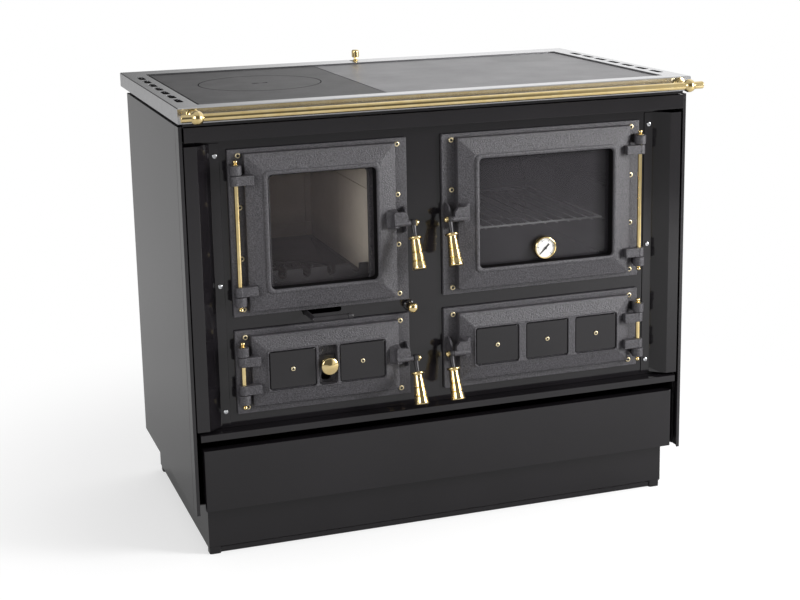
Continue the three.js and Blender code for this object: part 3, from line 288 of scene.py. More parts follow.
BLOOM_CENTRE = (0.345, 0.19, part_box("hob_plate_right")[1].z)
BLOOM_RADIUS = 0.0725
FINISHES = {
    "side_enamel": enamel("side_enamel", (0.013, 0.0122, 0.0135), 0.16),
    "black_enamel": enamel("black_enamel", (0.0075, 0.0066, 0.0078), 0.1),
    "textured_casting": casting_paint(),
    "worktop_steel": satin_steel(),
    "hob_iron": ground_iron(),
    "hob_steel": bloomed_steel(BLOOM_CENTRE, BLOOM_RADIUS),
    "brass": polished_brass(),
    "dark_iron": black_iron(),
    "oven_sheet": enamel("oven_sheet", (0.02, 0.02, 0.021), 0.35),
    # rack wire: bright plated wire given a near-white, barely metallic colour, partly its own brightness and
    # partly a painted highlight for its glint
    "rack_wire": bright_metal("rack_wire", (0.93, 0.93, 0.94), 0.3, 0.05),
    "firebrick": firebrick(),
    "fire_glass": tinted_glass("fire_glass", (0.06, 0.053, 0.057), 0.16),
    "oven_glass_dark": tinted_glass("oven_glass_dark", (0.042, 0.039, 0.044), 0.42),
}
SCREW_BRASS = bright_metal("screw_brass", (0.88, 0.76, 0.5), 0.42)
ZINC = bright_metal("zinc", (0.72, 0.73, 0.75), 0.22)
DIAL = matt("dial", (0.86, 0.85, 0.82), 0.4)
# black ink for the dial's print and the needle, also used for the dark hexagons of painted shade in the screw
# sockets
INK_AND_SOCKET_SHADE = matt("ink", (0.02, 0.02, 0.022), 0.5)
# black for the windows' rope seals, and for the black fills of painted shade in the hob's gaps, the cover's
# ring, the lifter slot and under the vents
ROPE_AND_SHADE_BLACK = matt("rope_seal", (0.006, 0.0055, 0.006), 0.9, 0.05)


# ---------------------------------------------------------------- shaping
STOVE_FRONT = -0.27375        # worktop's front edge; door depths count back from it


def at(x, y, z):
    """Point given in millimetres: x from the middle, y behind the worktop's front edge, z up."""
    return Vector((x * MM, STOVE_FRONT + y * MM, z * MM))


def limits_of(node):
    """The node's limits along x, y and z, in the millimetres that at() takes."""
    zero = at(0, 0, 0)
    low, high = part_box(node)
    return [((low[i] - zero[i]) / MM, (high[i] - zero[i]) / MM) for i in range(3)]


def middle_of(node):
    """The middle of the node as x, y and z, in millimetres."""
    return [(low + high) / 2 for low, high in limits_of(node)]


def placed(name, data):
    """A new object in the scene."""
    made = bpy.data.objects.new(name, data)
    bpy.context.scene.collection.objects.link(made)
    return made


def finished(name, mesh, body, slot, *replaces, sharp=35, material=None):
    """Turns a mesh into a finished piece that rides on a body, with its flat faces shaded flat.

    replaces names the nodes that it stands for, and sharp is the angle in degrees past which
    an edge stays sharp."""
    mesh.materials.clear()
    mesh.materials.append(material or FINISHES[slot])
    mesh.shade_smooth()
    mesh.set_sharp_from_angle(angle=math.radians(sharp))
    draft = placed(name + "_draft", mesh)
    weights = draft.modifiers.new("flat_faces", "WEIGHTED_NORMAL")
    weights.keep_sharp = True
    weights.weight = 100
    piece = placed(name, applied(draft, name))
    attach(piece, body)
    if replaces:
        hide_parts(*replaces)


def mesh_of(bm):
    """The mesh of a shape, with its doubles merged and its faces turned outwards."""
    bmesh.ops.remove_doubles(bm, verts=bm.verts, dist=1e-6)
    bmesh.ops.recalc_face_normals(bm, faces=bm.faces)
    mesh = bpy.data.meshes.new("shape")
    bm.to_mesh(mesh)
    bm.free()
    return mesh


def applied(draft, name):
    """The evaluated mesh of a draft object, which is then removed."""
    graph = bpy.context.evaluated_depsgraph_get()
    mesh = bpy.data.meshes.new_from_object(draft.evaluated_get(graph))
    mesh.name = name
    bpy.data.objects.remove(draft)
    return mesh


def eased(name, width, material=None):
    """The node's own shape with its sharp edges eased, as folded sheet and cast pieces have."""
    bm = bmesh.new()
    bm.from_mesh(NODES[name].data)
    bmesh.ops.remove_doubles(bm, verts=bm.verts, dist=2e-6)
    bmesh.ops.dissolve_limit(bm, angle_limit=math.radians(1), verts=bm.verts, edges=bm.edges)
    mesh = bpy.data.meshes.new(name + "_eased")
    bm.to_mesh(mesh)
    bm.free()
    draft = placed(name + "_draft", mesh)
    bevel = draft.modifiers.new("ease", "BEVEL")
    bevel.width = width
    bevel.segments = 2
    bevel.limit_method = "ANGLE"
    bevel.angle_limit = math.radians(25)
    solid = applied(draft, name + "_solid")
    finished(name + "_dressed", solid, BODY_OF[name], SLOT_OF[name], name, sharp=30, material=material)


def bridge(bm, low, high):
    """Faces between two rings of equal count, or from a ring to a single point."""
    count = max(len(low), len(high))
    for i in range(count):
        j = (i + 1) % count
        if len(low) == 1:
            bm.faces.new((low[0], high[j], high[i]))
        elif len(high) == 1:
            bm.faces.new((low[i], low[j], high[0]))
        else:
            bm.faces.new((low[i], low[j], high[j], high[i]))


def skinned(bm, rings, looped=False):
    """Adds a solid skinned over rings of points, capped at its ends or looped back to its start."""
    made = [[bm.verts.new(p) for p in ring] for ring in rings]
    for low, high in zip(made, made[1:]):
        bridge(bm, low, high)
    if looped:
        bridge(bm, made[-1], made[0])
    else:
        for end in (made[0][::-1], made[-1]):
            if len(end) > 1:
                bm.faces.new(end)


def turned(bm, profile, start, towards, segments=48, lobes=None, looped=False):
    """Adds a turned solid: profile is (distance along, radius) in millimetres from start.

    lobes(i, angle) scales the radius of ring i, which makes hexagons. A looped profile
    closes on itself, which makes a hollow ring."""
    axis = Vector(towards).normalized()
    side = (UP if abs(axis.z) < 0.9 else FRONT).cross(axis).normalized()
    other = axis.cross(side)
    rings = []
    for i, (along, radius) in enumerate(profile):
        centre = Vector(start) + axis * along * MM
        if radius == 0:
            rings.append([centre])
            continue
        ring = []
        for k in range(segments):
            angle = 2 * math.pi * k / segments
            reach = radius * MM * (lobes(i, angle) if lobes else 1)
            ring.append(centre + (side * math.cos(angle) + other * math.sin(angle)) * reach)
        rings.append(ring)
    skinned(bm, rings, looped)


def alike(length, *end):
    """Profile of a rod whose two ends are turned alike, from the points of one end."""
    return [(0, 0), *end, *((length - along, radius) for along, radius in reversed(end)), (length, 0)]


def rounded(rect, radius, steps):
    """Rectangle (low, high, low, high) with round corners, as pairs, corner by corner."""
    left, right, low, high = rect
    corners = ((right - radius, high - radius), (left + radius, high - radius),
               (left + radius, low + radius), (right - radius, low + radius))
    points = []
    for quarter, (across, up) in enumerate(corners):
        for i in range(steps + 1):
            angle = (quarter + i / steps) * math.pi / 2
            points.append((across + radius * math.cos(angle), up + radius * math.sin(angle)))
    return points


def ring(rect, radius, y, steps=7):
    """Upright rounded rectangle (x0, x1, z0, z1) at depth y, in millimetres."""
    return [at(x, y, z) for x, z in rounded(rect, radius, steps)]


def flat_ring(rect, radius, z, steps=5):
    """Lying rounded rectangle (x0, x1, y0, y1) at height z, in metres."""
    return [Vector((x, y, z)) for x, y in rounded(rect, radius, steps)]


def shrunk(rect, by):
    """The rectangle with all four sides moved inwards."""
    x0, x1, z0, z1 = rect
    return x0 + by, x1 - by, z0 + by, z1 - by


def block(bm, x, y, z, ease=1.0, segments=2):
    """Adds a box between the given pairs of limits, with eased edges."""
    (x0, x1), (y0, y1), (z0, z1) = sorted(x), sorted(y), sorted(z)
    before = set(bm.verts)
    bmesh.ops.create_cube(bm, size=1.0)
    fresh = [v for v in bm.verts if v not in before]
    for v in fresh:
        v.co = at(x0 if v.co.x < 0 else x1, y0 if v.co.y < 0 else y1, z0 if v.co.z < 0 else z1)
    edges = {e for v in fresh for e in v.link_edges}
    bmesh.ops.bevel(bm, geom=list(edges), offset=ease * MM, segments=segments, affect="EDGES",
                    profile=0.5)


def extruded(bm, outline, offset, ease):
    """Adds a plate: a closed outline of points moved by offset, with eased rims."""
    base = [bm.verts.new(p) for p in outline]
    top = [bm.verts.new(p + offset) for p in outline]
    bridge(bm, base, top)
    caps = (bm.faces.new(base[::-1]), bm.faces.new(top))
    if ease:
        rims = [edge for cap in caps for edge in cap.edges]
        bmesh.ops.bevel(bm, geom=rims, offset=ease * MM, segments=2, affect="EDGES", profile=0.5)


# ---------------------------------------------------------------- repeated pieces
def repeater():
    """Geometry Nodes group that sets one item on every point, turned by the point's own angles."""
    group = bpy.data.node_groups.new("repeated_item", "GeometryNodeTree")
    for name, kind in (("Places", "Geometry"), ("Item", "Object"), ("Finish", "Material"), ("Size", "Float")):
        group.interface.new_socket(name, in_out="INPUT", socket_type="NodeSocket" + kind)
    group.interface.new_socket("Pieces", in_out="OUTPUT", socket_type="NodeSocketGeometry")
    nodes, links = group.nodes, group.links
    given = nodes.new("NodeGroupInput")
    item = nodes.new("GeometryNodeObjectInfo")
    turn = nodes.new("GeometryNodeInputNamedAttribute")
    turn.data_type = "FLOAT_VECTOR"
    turn.inputs["Name"].default_value = "turn"
    place = nodes.new("GeometryNodeInstanceOnPoints")
    real = nodes.new("GeometryNodeRealizeInstances")
    finish = nodes.new("GeometryNodeSetMaterial")
    out = nodes.new("NodeGroupOutput")
    links.new(given.outputs["Item"], item.inputs["Object"])
    links.new(given.outputs["Places"], place.inputs["Points"])
    links.new(item.outputs["Geometry"], place.inputs["Instance"])
    links.new(turn.outputs["Attribute"], place.inputs["Rotation"])
    links.new(given.outputs["Size"], place.inputs["Scale"])
    links.new(place.outputs["Instances"], real.inputs["Geometry"])
    links.new(real.outputs["Geometry"], finish.inputs["Geometry"])
    links.new(given.outputs["Finish"], finish.inputs["Material"])
    links.new(finish.outputs["Geometry"], out.inputs["Pieces"])
    return group


def repeated(name, item, places, body, slot, material, size=1.0, sharp=35):
    """One piece that holds the item mesh at every place, each (point, turn in radians)."""
    model = placed(name + "_item", item)
    cloud = bpy.data.meshes.new(name + "_places")
    cloud.from_pydata([p for p, _ in places], [], [])
    turns = cloud.attributes.new("turn", "FLOAT_VECTOR", "POINT")
    for i, (_, turn) in enumerate(places):
        turns.data[i].vector = turn
    draft = placed(name + "_draft", cloud)
    modifier = draft.modifiers.new("repeat", "NODES")
    modifier.node_group = REPEATER
    wanted = {"Item": model, "Finish": material, "Size": size}
    for socket in REPEATER.interface.items_tree:
        if socket.name in wanted:
            modifier[socket.identifier] = wanted[socket.name]
    solid = applied(draft, name)
    bpy.data.objects.remove(model)
    finished(name, solid, body, slot, sharp=sharp, material=material)


def screw_head():
    """Button head with a hexagon socket, facing -Y, seated at the origin."""
    def hexagon(i, angle):
        if i < 6:
            return 1.0
        sixth = (angle + math.pi / 6) % (math.pi / 3) - math.pi / 6
        return math.cos(math.pi / 6) / math.cos(sixth)

    bm = bmesh.new()
    turned(bm, [(0, 0), (0, 5), (1.6, 5), (2.4, 4.6), (2.8, 4.0), (2.9, 3.3), (2.9, 3.2), (2.7, 3.0),
                (0.5, 3.0), (0.4, 0)], (0, 0, 0), FRONT, 24, hexagon)
    return mesh_of(bm)


def socket_painted_shade():
    """Dark hexagon that fills the bottom of a screw's socket: painted shade for the socket's depth."""
    bm = bmesh.new()
    turned(bm, [(0.3, 0), (0.3, 3.15), (1.5, 3.15), (1.3, 0)], (0, 0, 0), FRONT, 6)
    return mesh_of(bm)


def spun(seed):
    """Turn of a screw about its own axis, in steps that never line up."""
    golden_angle = 2.399963
    return Vector((0, (seed * golden_angle) % (2 * math.pi), 0))


# ---------------------------------------------------------------- doors
PLATE_Y = 40                  # face of the recessed front plate
FRAME_Y = 33                  # face of the cast frames
SEAT_Y = 32.7                 # back of the doors, just clear of the frames
ROD_Y = 12                    # axis of the hinge rods
LEVER_Y = -2                  # pivots of the latch levers
ROD_INSET = 25                # hinge rod's ends, in from the frame's top and bottom
BARREL = 18                   # length of a knuckle and of a strap's barrel
BARREL_GAP = 0.8
INSET_FACE_Y = 10.2           # face of the enamelled inset plates
AIR_SLOT = 36                 # width of the well that the air slider runs in


def inset(rect, side, bottom, top):
    """The rectangle moved in by a distance of its own at the sides, bottom and top."""
    x0, x1, z0, z1 = rect
    return x0 + side, x1 - side, z0 + bottom, z1 - top


class Door:
    """Sizes of one door in millimetres; rectangles are (x0, x1, z0, z1)."""

    def __init__(self, name, frame, border, mouth):
        self.name, self.body = name, name + "_door"
        self.frame = frame
        self.edge = inset(frame, *border)
        self.mouth = inset(self.edge, *mouth)
        self.rod = JOINTS[self.body + "_hinge"]["pos_m"][0] / MM
        self.latch = Vector(JOINTS[name + "_latch"]["pos_m"])
        self.latch_x, self.latch_z = self.latch.x / MM, self.latch.z / MM
        self.away = 1 if self.latch_x > self.rod else -1
        left, right = self.edge[:2]
        self.hung_edge, self.free_edge = (left, right) if self.away > 0 else (right, left)
        self.rod_ends = frame[2] + ROD_INSET, frame[3] - ROD_INSET

    def barrels(self, first):
        """Limits of the two barrels that lie this far in from the rod's top and bottom."""
        z0, z1 = self.rod_ends
        return (z1 - first - BARREL, z1 - first), (z0 + first, z0 + first + BARREL)


UPPER_BORDER, LOWER_BORDER = (26.5, 11, 7), (26.5, 16, 9)      # side, bottom, top
LOWER_MOUTH = (22, 20, 20)
FIREBOX = Door("firebox", (-408.5, -71, 457, 766), UPPER_BORDER, (49, 37, 45))
OVEN = Door("oven", (-2, 408.5, 457, 766), UPPER_BORDER, (32, 32, 34))
ASH = Door("ash", (-408.5, -71, 272, 431), LOWER_BORDER, LOWER_MOUTH)
LOWER = Door("lower", (-2, 408.5, 272, 431), LOWER_BORDER, LOWER_MOUTH)
DOORS = (FIREBOX, OVEN, ASH, LOWER)


def door_frame(door):
    """Cast frame plate with its mouth, two fixed knuckles and the latch keeper."""
    bm = bmesh.new()
    outer, mouth = door.frame, door.mouth
    skinned(bm, [
        ring(outer, 1.5, PLATE_Y - 0.3), ring(outer, 1.5, FRAME_Y + 1.8),
        ring(shrunk(outer, 0.5), 1.5, FRAME_Y + 0.6), ring(shrunk(outer, 1.7), 1.5, FRAME_Y),
        ring(shrunk(mouth, -0.8), 9.8, FRAME_Y), ring(mouth, 9, FRAME_Y + 0.8),
        ring(mouth, 9, PLATE_Y - 0.3)], looped=True)
    for z0, z1 in door.barrels(0):
        turned(bm, alike(BARREL, (0, 9.4), (0.5, 10.4), (1.5, 11)), at(door.rod, ROD_Y, z0), UP, 40)
        web = (door.rod + door.away * 5, door.rod - door.away * 7.6)
        block(bm, web, (ROD_Y + 4, FRAME_Y + 2), (z0 + 0.4, z1 - 0.4), 1.2)
    thick, reach, half, rooted = 4, 22, 25, FRAME_Y + 3
    x = door.latch_x - door.away * 6.75 - thick / 2
    keeper = [at(x, rooted, door.latch_z - half)]
    for i in range(19):
        angle = math.pi * (i / 18 - 0.5)
        keeper.append(at(x, FRAME_Y - reach * math.cos(angle), door.latch_z + half * math.sin(angle)))
    keeper.append(at(x, rooted, door.latch_z + half))
    extruded(bm, keeper, Vector((thick * MM, 0, 0)), 0.8)
    finished(door.name + "_frame_casting", mesh_of(bm), "stove", "textured_casting",
             door.name + "_frame", sharp=40)


def hinge_rod(door):
    """Brass rod with a turned collar and ball at each end."""
    z0, z1 = door.rod_ends
    ball = 10
    profile = alike(z1 - z0 + 2 * ball, (0.3, 1.7), (1, 3.2), (2.2, 4.3), (3.6, 4.6), (5, 4.3), (6.2, 3.4),
                    (6.8, 2.9), (7.4, 3.2), (8.2, 5.2), (8.8, 5.9), (9.7, 5.9), (9.7, 4.3))
    bm = bmesh.new()
    turned(bm, profile, at(door.rod, ROD_Y, z0 - ball), UP, 32)
    finished(door.name + "_rod_polished", mesh_of(bm), "stove", "brass", door.name + "_hinge_rod", sharp=40)


def straps(bm, door):
    """Barrels round the hinge rod with square arms that lap onto the door's border."""
    end = door.hung_edge + door.away * 14
    for z0, z1 in door.barrels(BARREL + BARREL_GAP):
        turned(bm, alike(BARREL, (0, 8.3), (0.4, 9.1), (1.2, 9.5)), at(door.rod, ROD_Y, z0), UP, 40)
        block(bm, (door.rod, end), (ROD_Y - 9, ROD_Y + 3), (z0 + 0.1, z1 - 0.1), 1.3, 3)
        block(bm, (door.hung_edge - door.away * 2, end), (ROD_Y, 24), (z0 + 0.1, z1 - 0.1), 1.0)


def latch_arm(bm, door):
    """Gusseted boss on the border that carries the web and the lever's shaft housing."""
    z, away, edge = door.latch_z, door.away, door.free_edge
    sections = []
    for i in range(9):
        t = i / 8
        draw = 1 - (1 - t) ** 2.2
        x0, x1 = edge - away * (29 - 17 * draw), edge - away * (0.5 + 1.5 * t)
        z0, z1 = z - 13 + 5 * draw, z + 25 - 3 * t
        sections.append(ring((min(x0, x1), max(x0, x1), z0, z1), 2.5 + 1.5 * t, 18.6 - 23.4 * t, 4))
    middle = sum(sections[-1], Vector()) / len(sections[-1])
    face = [p + (middle - p) * 0.12 + FRONT * 0.6 * MM for p in sections[-1]]
    skinned(bm, sections + [face])
    keeper_face = door.latch_x - away * 9.9
    web = [(edge - away * 8, z), (keeper_face, z), (keeper_face, z + 13),
           (keeper_face - away * 7, z + 21.5), (edge - away * 8, z + 21.5)]
    extruded(bm, [at(x, -5.6, h) for x, h in web], Vector((0, 9 * MM, 0)), 1.1)
    hub_face = door.latch_x - away * 4.3
    root = edge - away * 12
    reach = abs(hub_face - root)
    turned(bm, [(0, 0), (0, 5.6), (reach - 1.4, 5.6), (reach - 0.6, 5.3), (reach, 4.6), (reach, 0)],
           at(root, LEVER_Y, z), RIGHT * away, 32)


def hang(door, bm):
    """Adds the straps and the latch arm, and hangs the casting on its body."""
    straps(bm, door)
    latch_arm(bm, door)
    finished(door.name + "_door_casting", mesh_of(bm), door.body, "textured_casting", door.body, sharp=30)


SQUARE_EDGE = [(1.2, 1.5, SEAT_Y), (0.3, 1.8, 32.2), (0, 2, 31.3), (0, 2, 20.4), (0.25, 2, 19.4),
               (0.9, 2.1, 18.75), (1.9, 2.2, 18.3)]


def glazed_door(door):
    """Picture-frame casting: square edge, sloping border, rolled bead and glass rebate.

    Its profile's points are (inset from the edge, corner radius, depth)."""
    profile = SQUARE_EDGE + [(29.5, 3, 11.0), (30.8, 3.4, 10.7), (31.8, 10.8, 10.5)]
    for i in range(11):
        angle = math.pi * i / 10
        bead = 2.4 * math.sin(angle) ** 0.8
        profile.append((36 - 4.1 * math.cos(angle), 9.5 + 1.3 * math.cos(angle), 10.5 - bead))
    profile += [(40.1, 8.8, 11.5), (40.2, 8.8, 27.3), (33.7, 6, 27.3), (33.7, 6, SEAT_Y)]
    bm = bmesh.new()
    skinned(bm, [ring(shrunk(door.edge, d), r, y) for d, r, y in profile], looped=True)
    hang(door, bm)


def window_seal(door):
    """Black rope seal between the glass and the window's wall."""
    profile = [(40.3, 8.6, 27.5), (40.3, 8.6, 12.4), (41, 8.2, 12), (41.6, 7.8, 13.2), (41.6, 7.8, 27.5)]
    bm = bmesh.new()
    skinned(bm, [ring(shrunk(door.edge, d), r, y) for d, r, y in profile], looped=True)
    blackened(door.name + "_window_seal", bm, door.body)


def pane(door, slot):
    """Ceramic glass with ground edges, in the door's rebate."""
    window, lap = 40, 6
    rect = shrunk(door.edge, window - lap)
    bm = bmesh.new()
    skinned(bm, [ring(shrunk(rect, 0.4), 5.5, 27.75), ring(rect, 5.7, 28.1), ring(rect, 5.7, 31.3),
                 ring(shrunk(rect, 0.4), 5.5, 31.65)])
    finished(door.name + "_pane", mesh_of(bm), door.body, slot, door.name + "_glass")


def panel_door(door, count, bar):
    """Solid casting whose panel has a well for each enamelled plate, with bars between them.

    A bar that is wide enough for it has the air slider's well. Returns the plates' wells."""
    profile = SQUARE_EDGE + [(25.4, 2.6, 10.9), (26.4, 3, 10.6), (27, 5, 10.3), (27.2, 5, 9.2),
                             (27.7, 5, 8.6), (28.4, 4.6, 8.4), (29.4, 3, 8.5), (30, 0.4, 8.5),
                             (30, 0.4, SEAT_Y)]
    bm = bmesh.new()
    skinned(bm, [ring(shrunk(door.edge, d), r, y) for d, r, y in profile], looped=True)
    x0, x1, z0, z1 = shrunk(door.edge, 30)
    size = (x1 - x0 - (count - 1) * bar) / count
    wells = [(x0 + i * (size + bar), x0 + i * (size + bar) + size, z0, z1) for i in range(count)]
    bars = [well[1] + bar / 2 for well in wells[:-1]]
    slots = [(x - AIR_SLOT / 2, x + AIR_SLOT / 2, z0, z1) for x in bars if bar > AIR_SLOT]
    holes = sorted(wells + slots)
    limits = [x0] + [(a[1] + b[0]) / 2 for a, b in zip(holes, holes[1:])] + [x1]
    for rect, low, high in zip(holes, limits, limits[1:]):
        cell = (low, high, z0, z1)
        air = rect in slots
        floor_y = 24.7 if air else 13.5
        inner = shrunk(rect, 0.2)
        rings = [ring(cell, 0.2, SEAT_Y), ring(cell, 0.2, 8.5), ring(shrunk(rect, -0.6), 5.6, 8.5),
                 ring(rect, 5, 8.9), ring(inner, 5, 9.6), ring(inner, 5, floor_y)]
        if air:
            middle = (z0 + z1) / 2
            hole = (rect[0] + 8, rect[1] - 8, middle - 33, middle - 2)
            rings += [ring(hole, 4, floor_y), ring(hole, 4, SEAT_Y)]
        skinned(bm, rings, looped=air)
    hang(door, bm)
    for i, well in enumerate(wells):
        enamelled_plate(door, i + 1, shrunk(well, 2))
    return wells


def enamelled_plate(door, number, rect):
    """Sheet plate set in its well, held by one brass screw in the middle."""
    bm = bmesh.new()
    skinned(bm, [ring(shrunk(rect, 0.2), 2.6, 13.1), ring(rect, 2.8, 12.7), ring(rect, 2.8, 10.9),
                 ring(shrunk(rect, 0.25), 2.7, 10.4), ring(shrunk(rect, 0.9), 2.4, INSET_FACE_Y)])
    finished(f"{door.name}_inset_plate_{number}", mesh_of(bm), door.body, "black_enamel",
             f"{door.name}_door_plate_{number}", sharp=50)


# ---------------------------------------------------------------- latches
GRIP_TILT = math.radians(22)
HANGING = Vector((0, -math.sin(GRIP_TILT), -math.cos(GRIP_TILT)))


def lever(door):
    """Iron hub with its cam and tapered stem, a brass cap nut and a flared brass grip."""
    body = door.name + "_lever"
    x, z = door.latch_x, door.latch_z
    bm = bmesh.new()
    turned(bm, alike(7.5, (0, 6.2), (0.4, 7), (1.3, 7.5)), at(x - 3.75, LEVER_Y, z), RIGHT, 36)
    turned(bm, [(3, 0), (3, 5.2), (7, 5), (10, 4.5), (20, 4.1), (25.6, 4.1), (25.6, 0)],
           door.latch, HANGING, 28)
    cam = [(0, -5), (8, -4.4), (12, -3.2), (13, -1.6), (13, 1), (12, 2.2), (8, 4), (0, 6)]
    extruded(bm, [at(x - 3.6, LEVER_Y + back, z + up) for back, up in cam], Vector((7.2 * MM, 0, 0)), 0.7)
    finished(door.name + "_lever_iron", mesh_of(bm), body, "dark_iron", door.name + "_lever", sharp=40)

    def six(i, angle):
        sixth = angle % (math.pi / 3) - math.pi / 6
        return 0.92 / math.cos(sixth) if i in (2, 3) else 1.0

    bm = bmesh.new()
    turned(bm, [(0, 0), (0, 5.2), (0.3, 5.9), (3.4, 5.9), (3.8, 5.2), (4.4, 5.0), (5.6, 4.7), (6.8, 3.9),
                (7.6, 2.6), (8, 0)], at(x + door.away * 3.6, LEVER_Y, z), RIGHT * door.away, 36, six)
    finished(door.name + "_cap_nut", mesh_of(bm), body, "brass", sharp=40)
    bm = bmesh.new()
    turned(bm, [(26.4, 0), (26.4, 10.6), (26.7, 11.8), (27.5, 12.5), (28.8, 12.7), (30.0, 12.4),
                (30.8, 11.4), (31.3, 9.6), (32.4, 8.9), (34, 8.8), (45, 9.8), (54.6, 10.7), (55.3, 9.9),
                (56, 9.5), (56.7, 9.9), (57.4, 10.9), (66, 11.7), (70.8, 12.2), (71.5, 11.4), (72.2, 11),
                (72.9, 11.4), (73.6, 12.4), (80, 13.1), (84.4, 13.7), (86.4, 13.7), (87.4, 13.0),
                (88, 11.8), (88, 0)], door.latch, HANGING, 56)
    finished(door.name + "_grip_turned", mesh_of(bm), body, "brass", door.name + "_grip", sharp=40)


# ---------------------------------------------------------------- small brass
def rail():
    """Towel rail: one tube through two balls, each on a post and a stepped rosette."""
    half = limits_of("towel_rail")[0][1]
    y, z = -40, middle_of("towel_rail")[2]
    bm = bmesh.new()
    turned(bm, alike(2 * half, (0, 5.6), (0.4, 6.5), (1.3, 7)), at(-half, y, z), RIGHT)
    radius, post = 12.5, 474
    arc = [math.pi * i / 24 for i in range(1, 24)]
    ball = [(radius * (1 - math.cos(a)), radius * math.sin(a)) for a in arc]
    for x in (-post, post):
        turned(bm, [(0, 0), *ball, (2 * radius, 0)], at(x - radius, y, z), RIGHT)
        turned(bm, [(0.3, 0), (0.3, 11.2), (0.9, 12), (3.2, 12), (3.9, 11.4), (4.4, 9.2), (6, 8.6),
                    (6.8, 6.6), (8.4, 5.4), (12, 5), (27, 5), (28.4, 6.2), (30, 6.6), (31, 0)],
               at(x, 0, z), FRONT, 40)
    finished("rail_polished", mesh_of(bm), "stove", "brass", "towel_rail", sharp=40)


def air_slider():
    """Iron slide plate in the ash door's slot, and its brass knob on a stepped stem."""
    x, _, z = middle_of("air_slider")
    bm = bmesh.new()
    plate = (x - 17, x + 17, z - 16, z + 16)
    skinned(bm, [ring(plate, 4, 24.4), ring(plate, 4, 21.9), ring(shrunk(plate, 0.5), 3.6, 21.4)])
    finished("air_slider_plate", mesh_of(bm), "air_slider", "dark_iron", "air_slider")
    bm = bmesh.new()
    turned(bm, [(3, 0), (3, 9), (5, 9), (5.6, 8.2), (6, 5), (10, 5), (10.4, 7.8), (11.6, 8.4), (12.8, 7.8),
                (13.2, 6.4), (17, 6.4), (19.5, 8), (21.5, 12.5), (23, 15.2), (24.4, 16.3), (26, 16.5),
                (27.6, 16.2), (28.6, 15.2), (29.6, 13), (30.8, 9), (31.8, 4.5), (32.2, 0)],
           at(x, 24.4, z), FRONT, 56)
    finished("air_slider_knob", mesh_of(bm), "air_slider", "brass")


def pull_knob():
    """Brass knob of the secondary-air rod, in its enamelled collar."""
    x, _, z = middle_of("air_pull_knob")
    bm = bmesh.new()
    turned(bm, [(-60, 0), (-60, 3), (11, 3), (11.6, 4.6), (13, 5), (15, 5.4), (17.6, 8), (19.2, 9.2),
                (20.6, 9.5), (24, 9.5), (25.6, 9.1), (27.4, 7.9), (29, 5.4), (29.8, 2.6), (30, 0)],
           at(x, PLATE_Y, z), FRONT)
    finished("air_pull_polished", mesh_of(bm), "air_pull_knob", "brass", "air_pull_knob", sharp=40)


def shaker_handle():
    """Round rod of the grate's shaker in front of the stove, with the rounded end of its bent handle."""
    (x0, x1), (y0, y1), (z0, _) = limits_of("grate")
    radius = (x1 - x0) / 2
    arm = y1 - radius - PLATE_Y
    rod, rest_angle = 4, math.radians(8)
    knee = at(x0 + radius - arm * math.tan(rest_angle), y0 + rod, z0 + rod)
    depth = PLATE_Y - y0 - rod + 3
    dome = [(-4.5, 0), (-4.1, 1.8), (-3, 3.4), (-1.4, 4.3), (0, 4.5)]
    bm = bmesh.new()
    turned(bm, dome + [(depth, 4.5), (depth, 0)], knee, -FRONT, 32)
    turned(bm, dome + [(64, 4.5), (64.4, 5.2), (65.2, 5.4), (66.4, 5.4), (67, 5), (71.6, 5), (73.6, 4.2),
                       (75.2, 2.8), (76.2, 1.2), (76.5, 0)], knee, RIGHT, 32)
    finished("shaker_handle_rod", mesh_of(bm), "grate", SLOT_OF["grate"], sharp=40)


def damper_knob():
    """Brass knob on the worktop's rear strip, with its carriage under the sheet."""
    x, y, _ = middle_of("damper_knob")
    bm = bmesh.new()
    turned(bm, [(845, 0), (845, 3), (851, 3), (851.4, 6.2), (852.6, 6.6), (853.4, 5.4), (856, 3.4),
                (859.6, 3.4), (860, 6), (860.8, 7.2), (862, 7.7), (872.6, 7.7), (874.4, 7.2), (875.6, 6),
                (876, 4), (876, 0)], at(x, y, 0), UP, 40)
    turned(bm, [(840, 0), (840, 8.8), (846.5, 8.8), (846.5, 0)], at(x, y, 0), UP, 40)
    finished("damper_polished", mesh_of(bm), "damper_knob", "brass", "damper_knob", sharp=40)


def thermometer():
    """Brass bezel, enamelled dial with its ticks, and the needle at the cold end."""
    x, _, z = middle_of("thermometer")
    back = limits_of("thermometer")[1][1]
    bm = bmesh.new()
    turned(bm, [(0.2, 20.5), (0, 21.6), (1, 22.4), (2.4, 22.5), (9.4, 22.5), (10.8, 22), (11.8, 21),
                (12, 20.2), (11.4, 19.4), (9.2, 19), (9, 18.8), (0.4, 18.8)],
           at(x, back, z), FRONT, 64, looped=True)
    finished("thermometer_bezel", mesh_of(bm), "oven_door", "brass", "thermometer", sharp=45)
    bm = bmesh.new()
    turned(bm, [(6, 0), (6, 18.7), (8.7, 18.7), (8.9, 18.3), (8.9, 0)], at(x, back, z), FRONT, 64)
    finished("thermometer_dial", mesh_of(bm), "oven_door", "brass", material=DIAL)
    places = {"tick": [], "mark": []}
    for i in range(26):
        angle = math.radians(225 - i * 10.8)
        spot = at(x + 15.6 * math.cos(angle), back - 8.95, z + 15.6 * math.sin(angle))
        places["tick" if i % 5 else "mark"].append((spot, Vector((0, -angle, 0))))
    for name, length, width in (("tick", 1.1, 0.28), ("mark", 2.2, 0.6)):
        bm = bmesh.new()
        bmesh.ops.create_cube(bm, size=2.0)
        bmesh.ops.scale(bm, vec=(length * MM, 0.05 * MM, width * MM), verts=bm.verts)
        repeated(f"thermometer_{name}s", mesh_of(bm), places[name], "oven_door", "dark_iron", INK_AND_SOCKET_SHADE)
    eased("thermometer_needle", 0.15 * MM, material=INK_AND_SOCKET_SHADE)


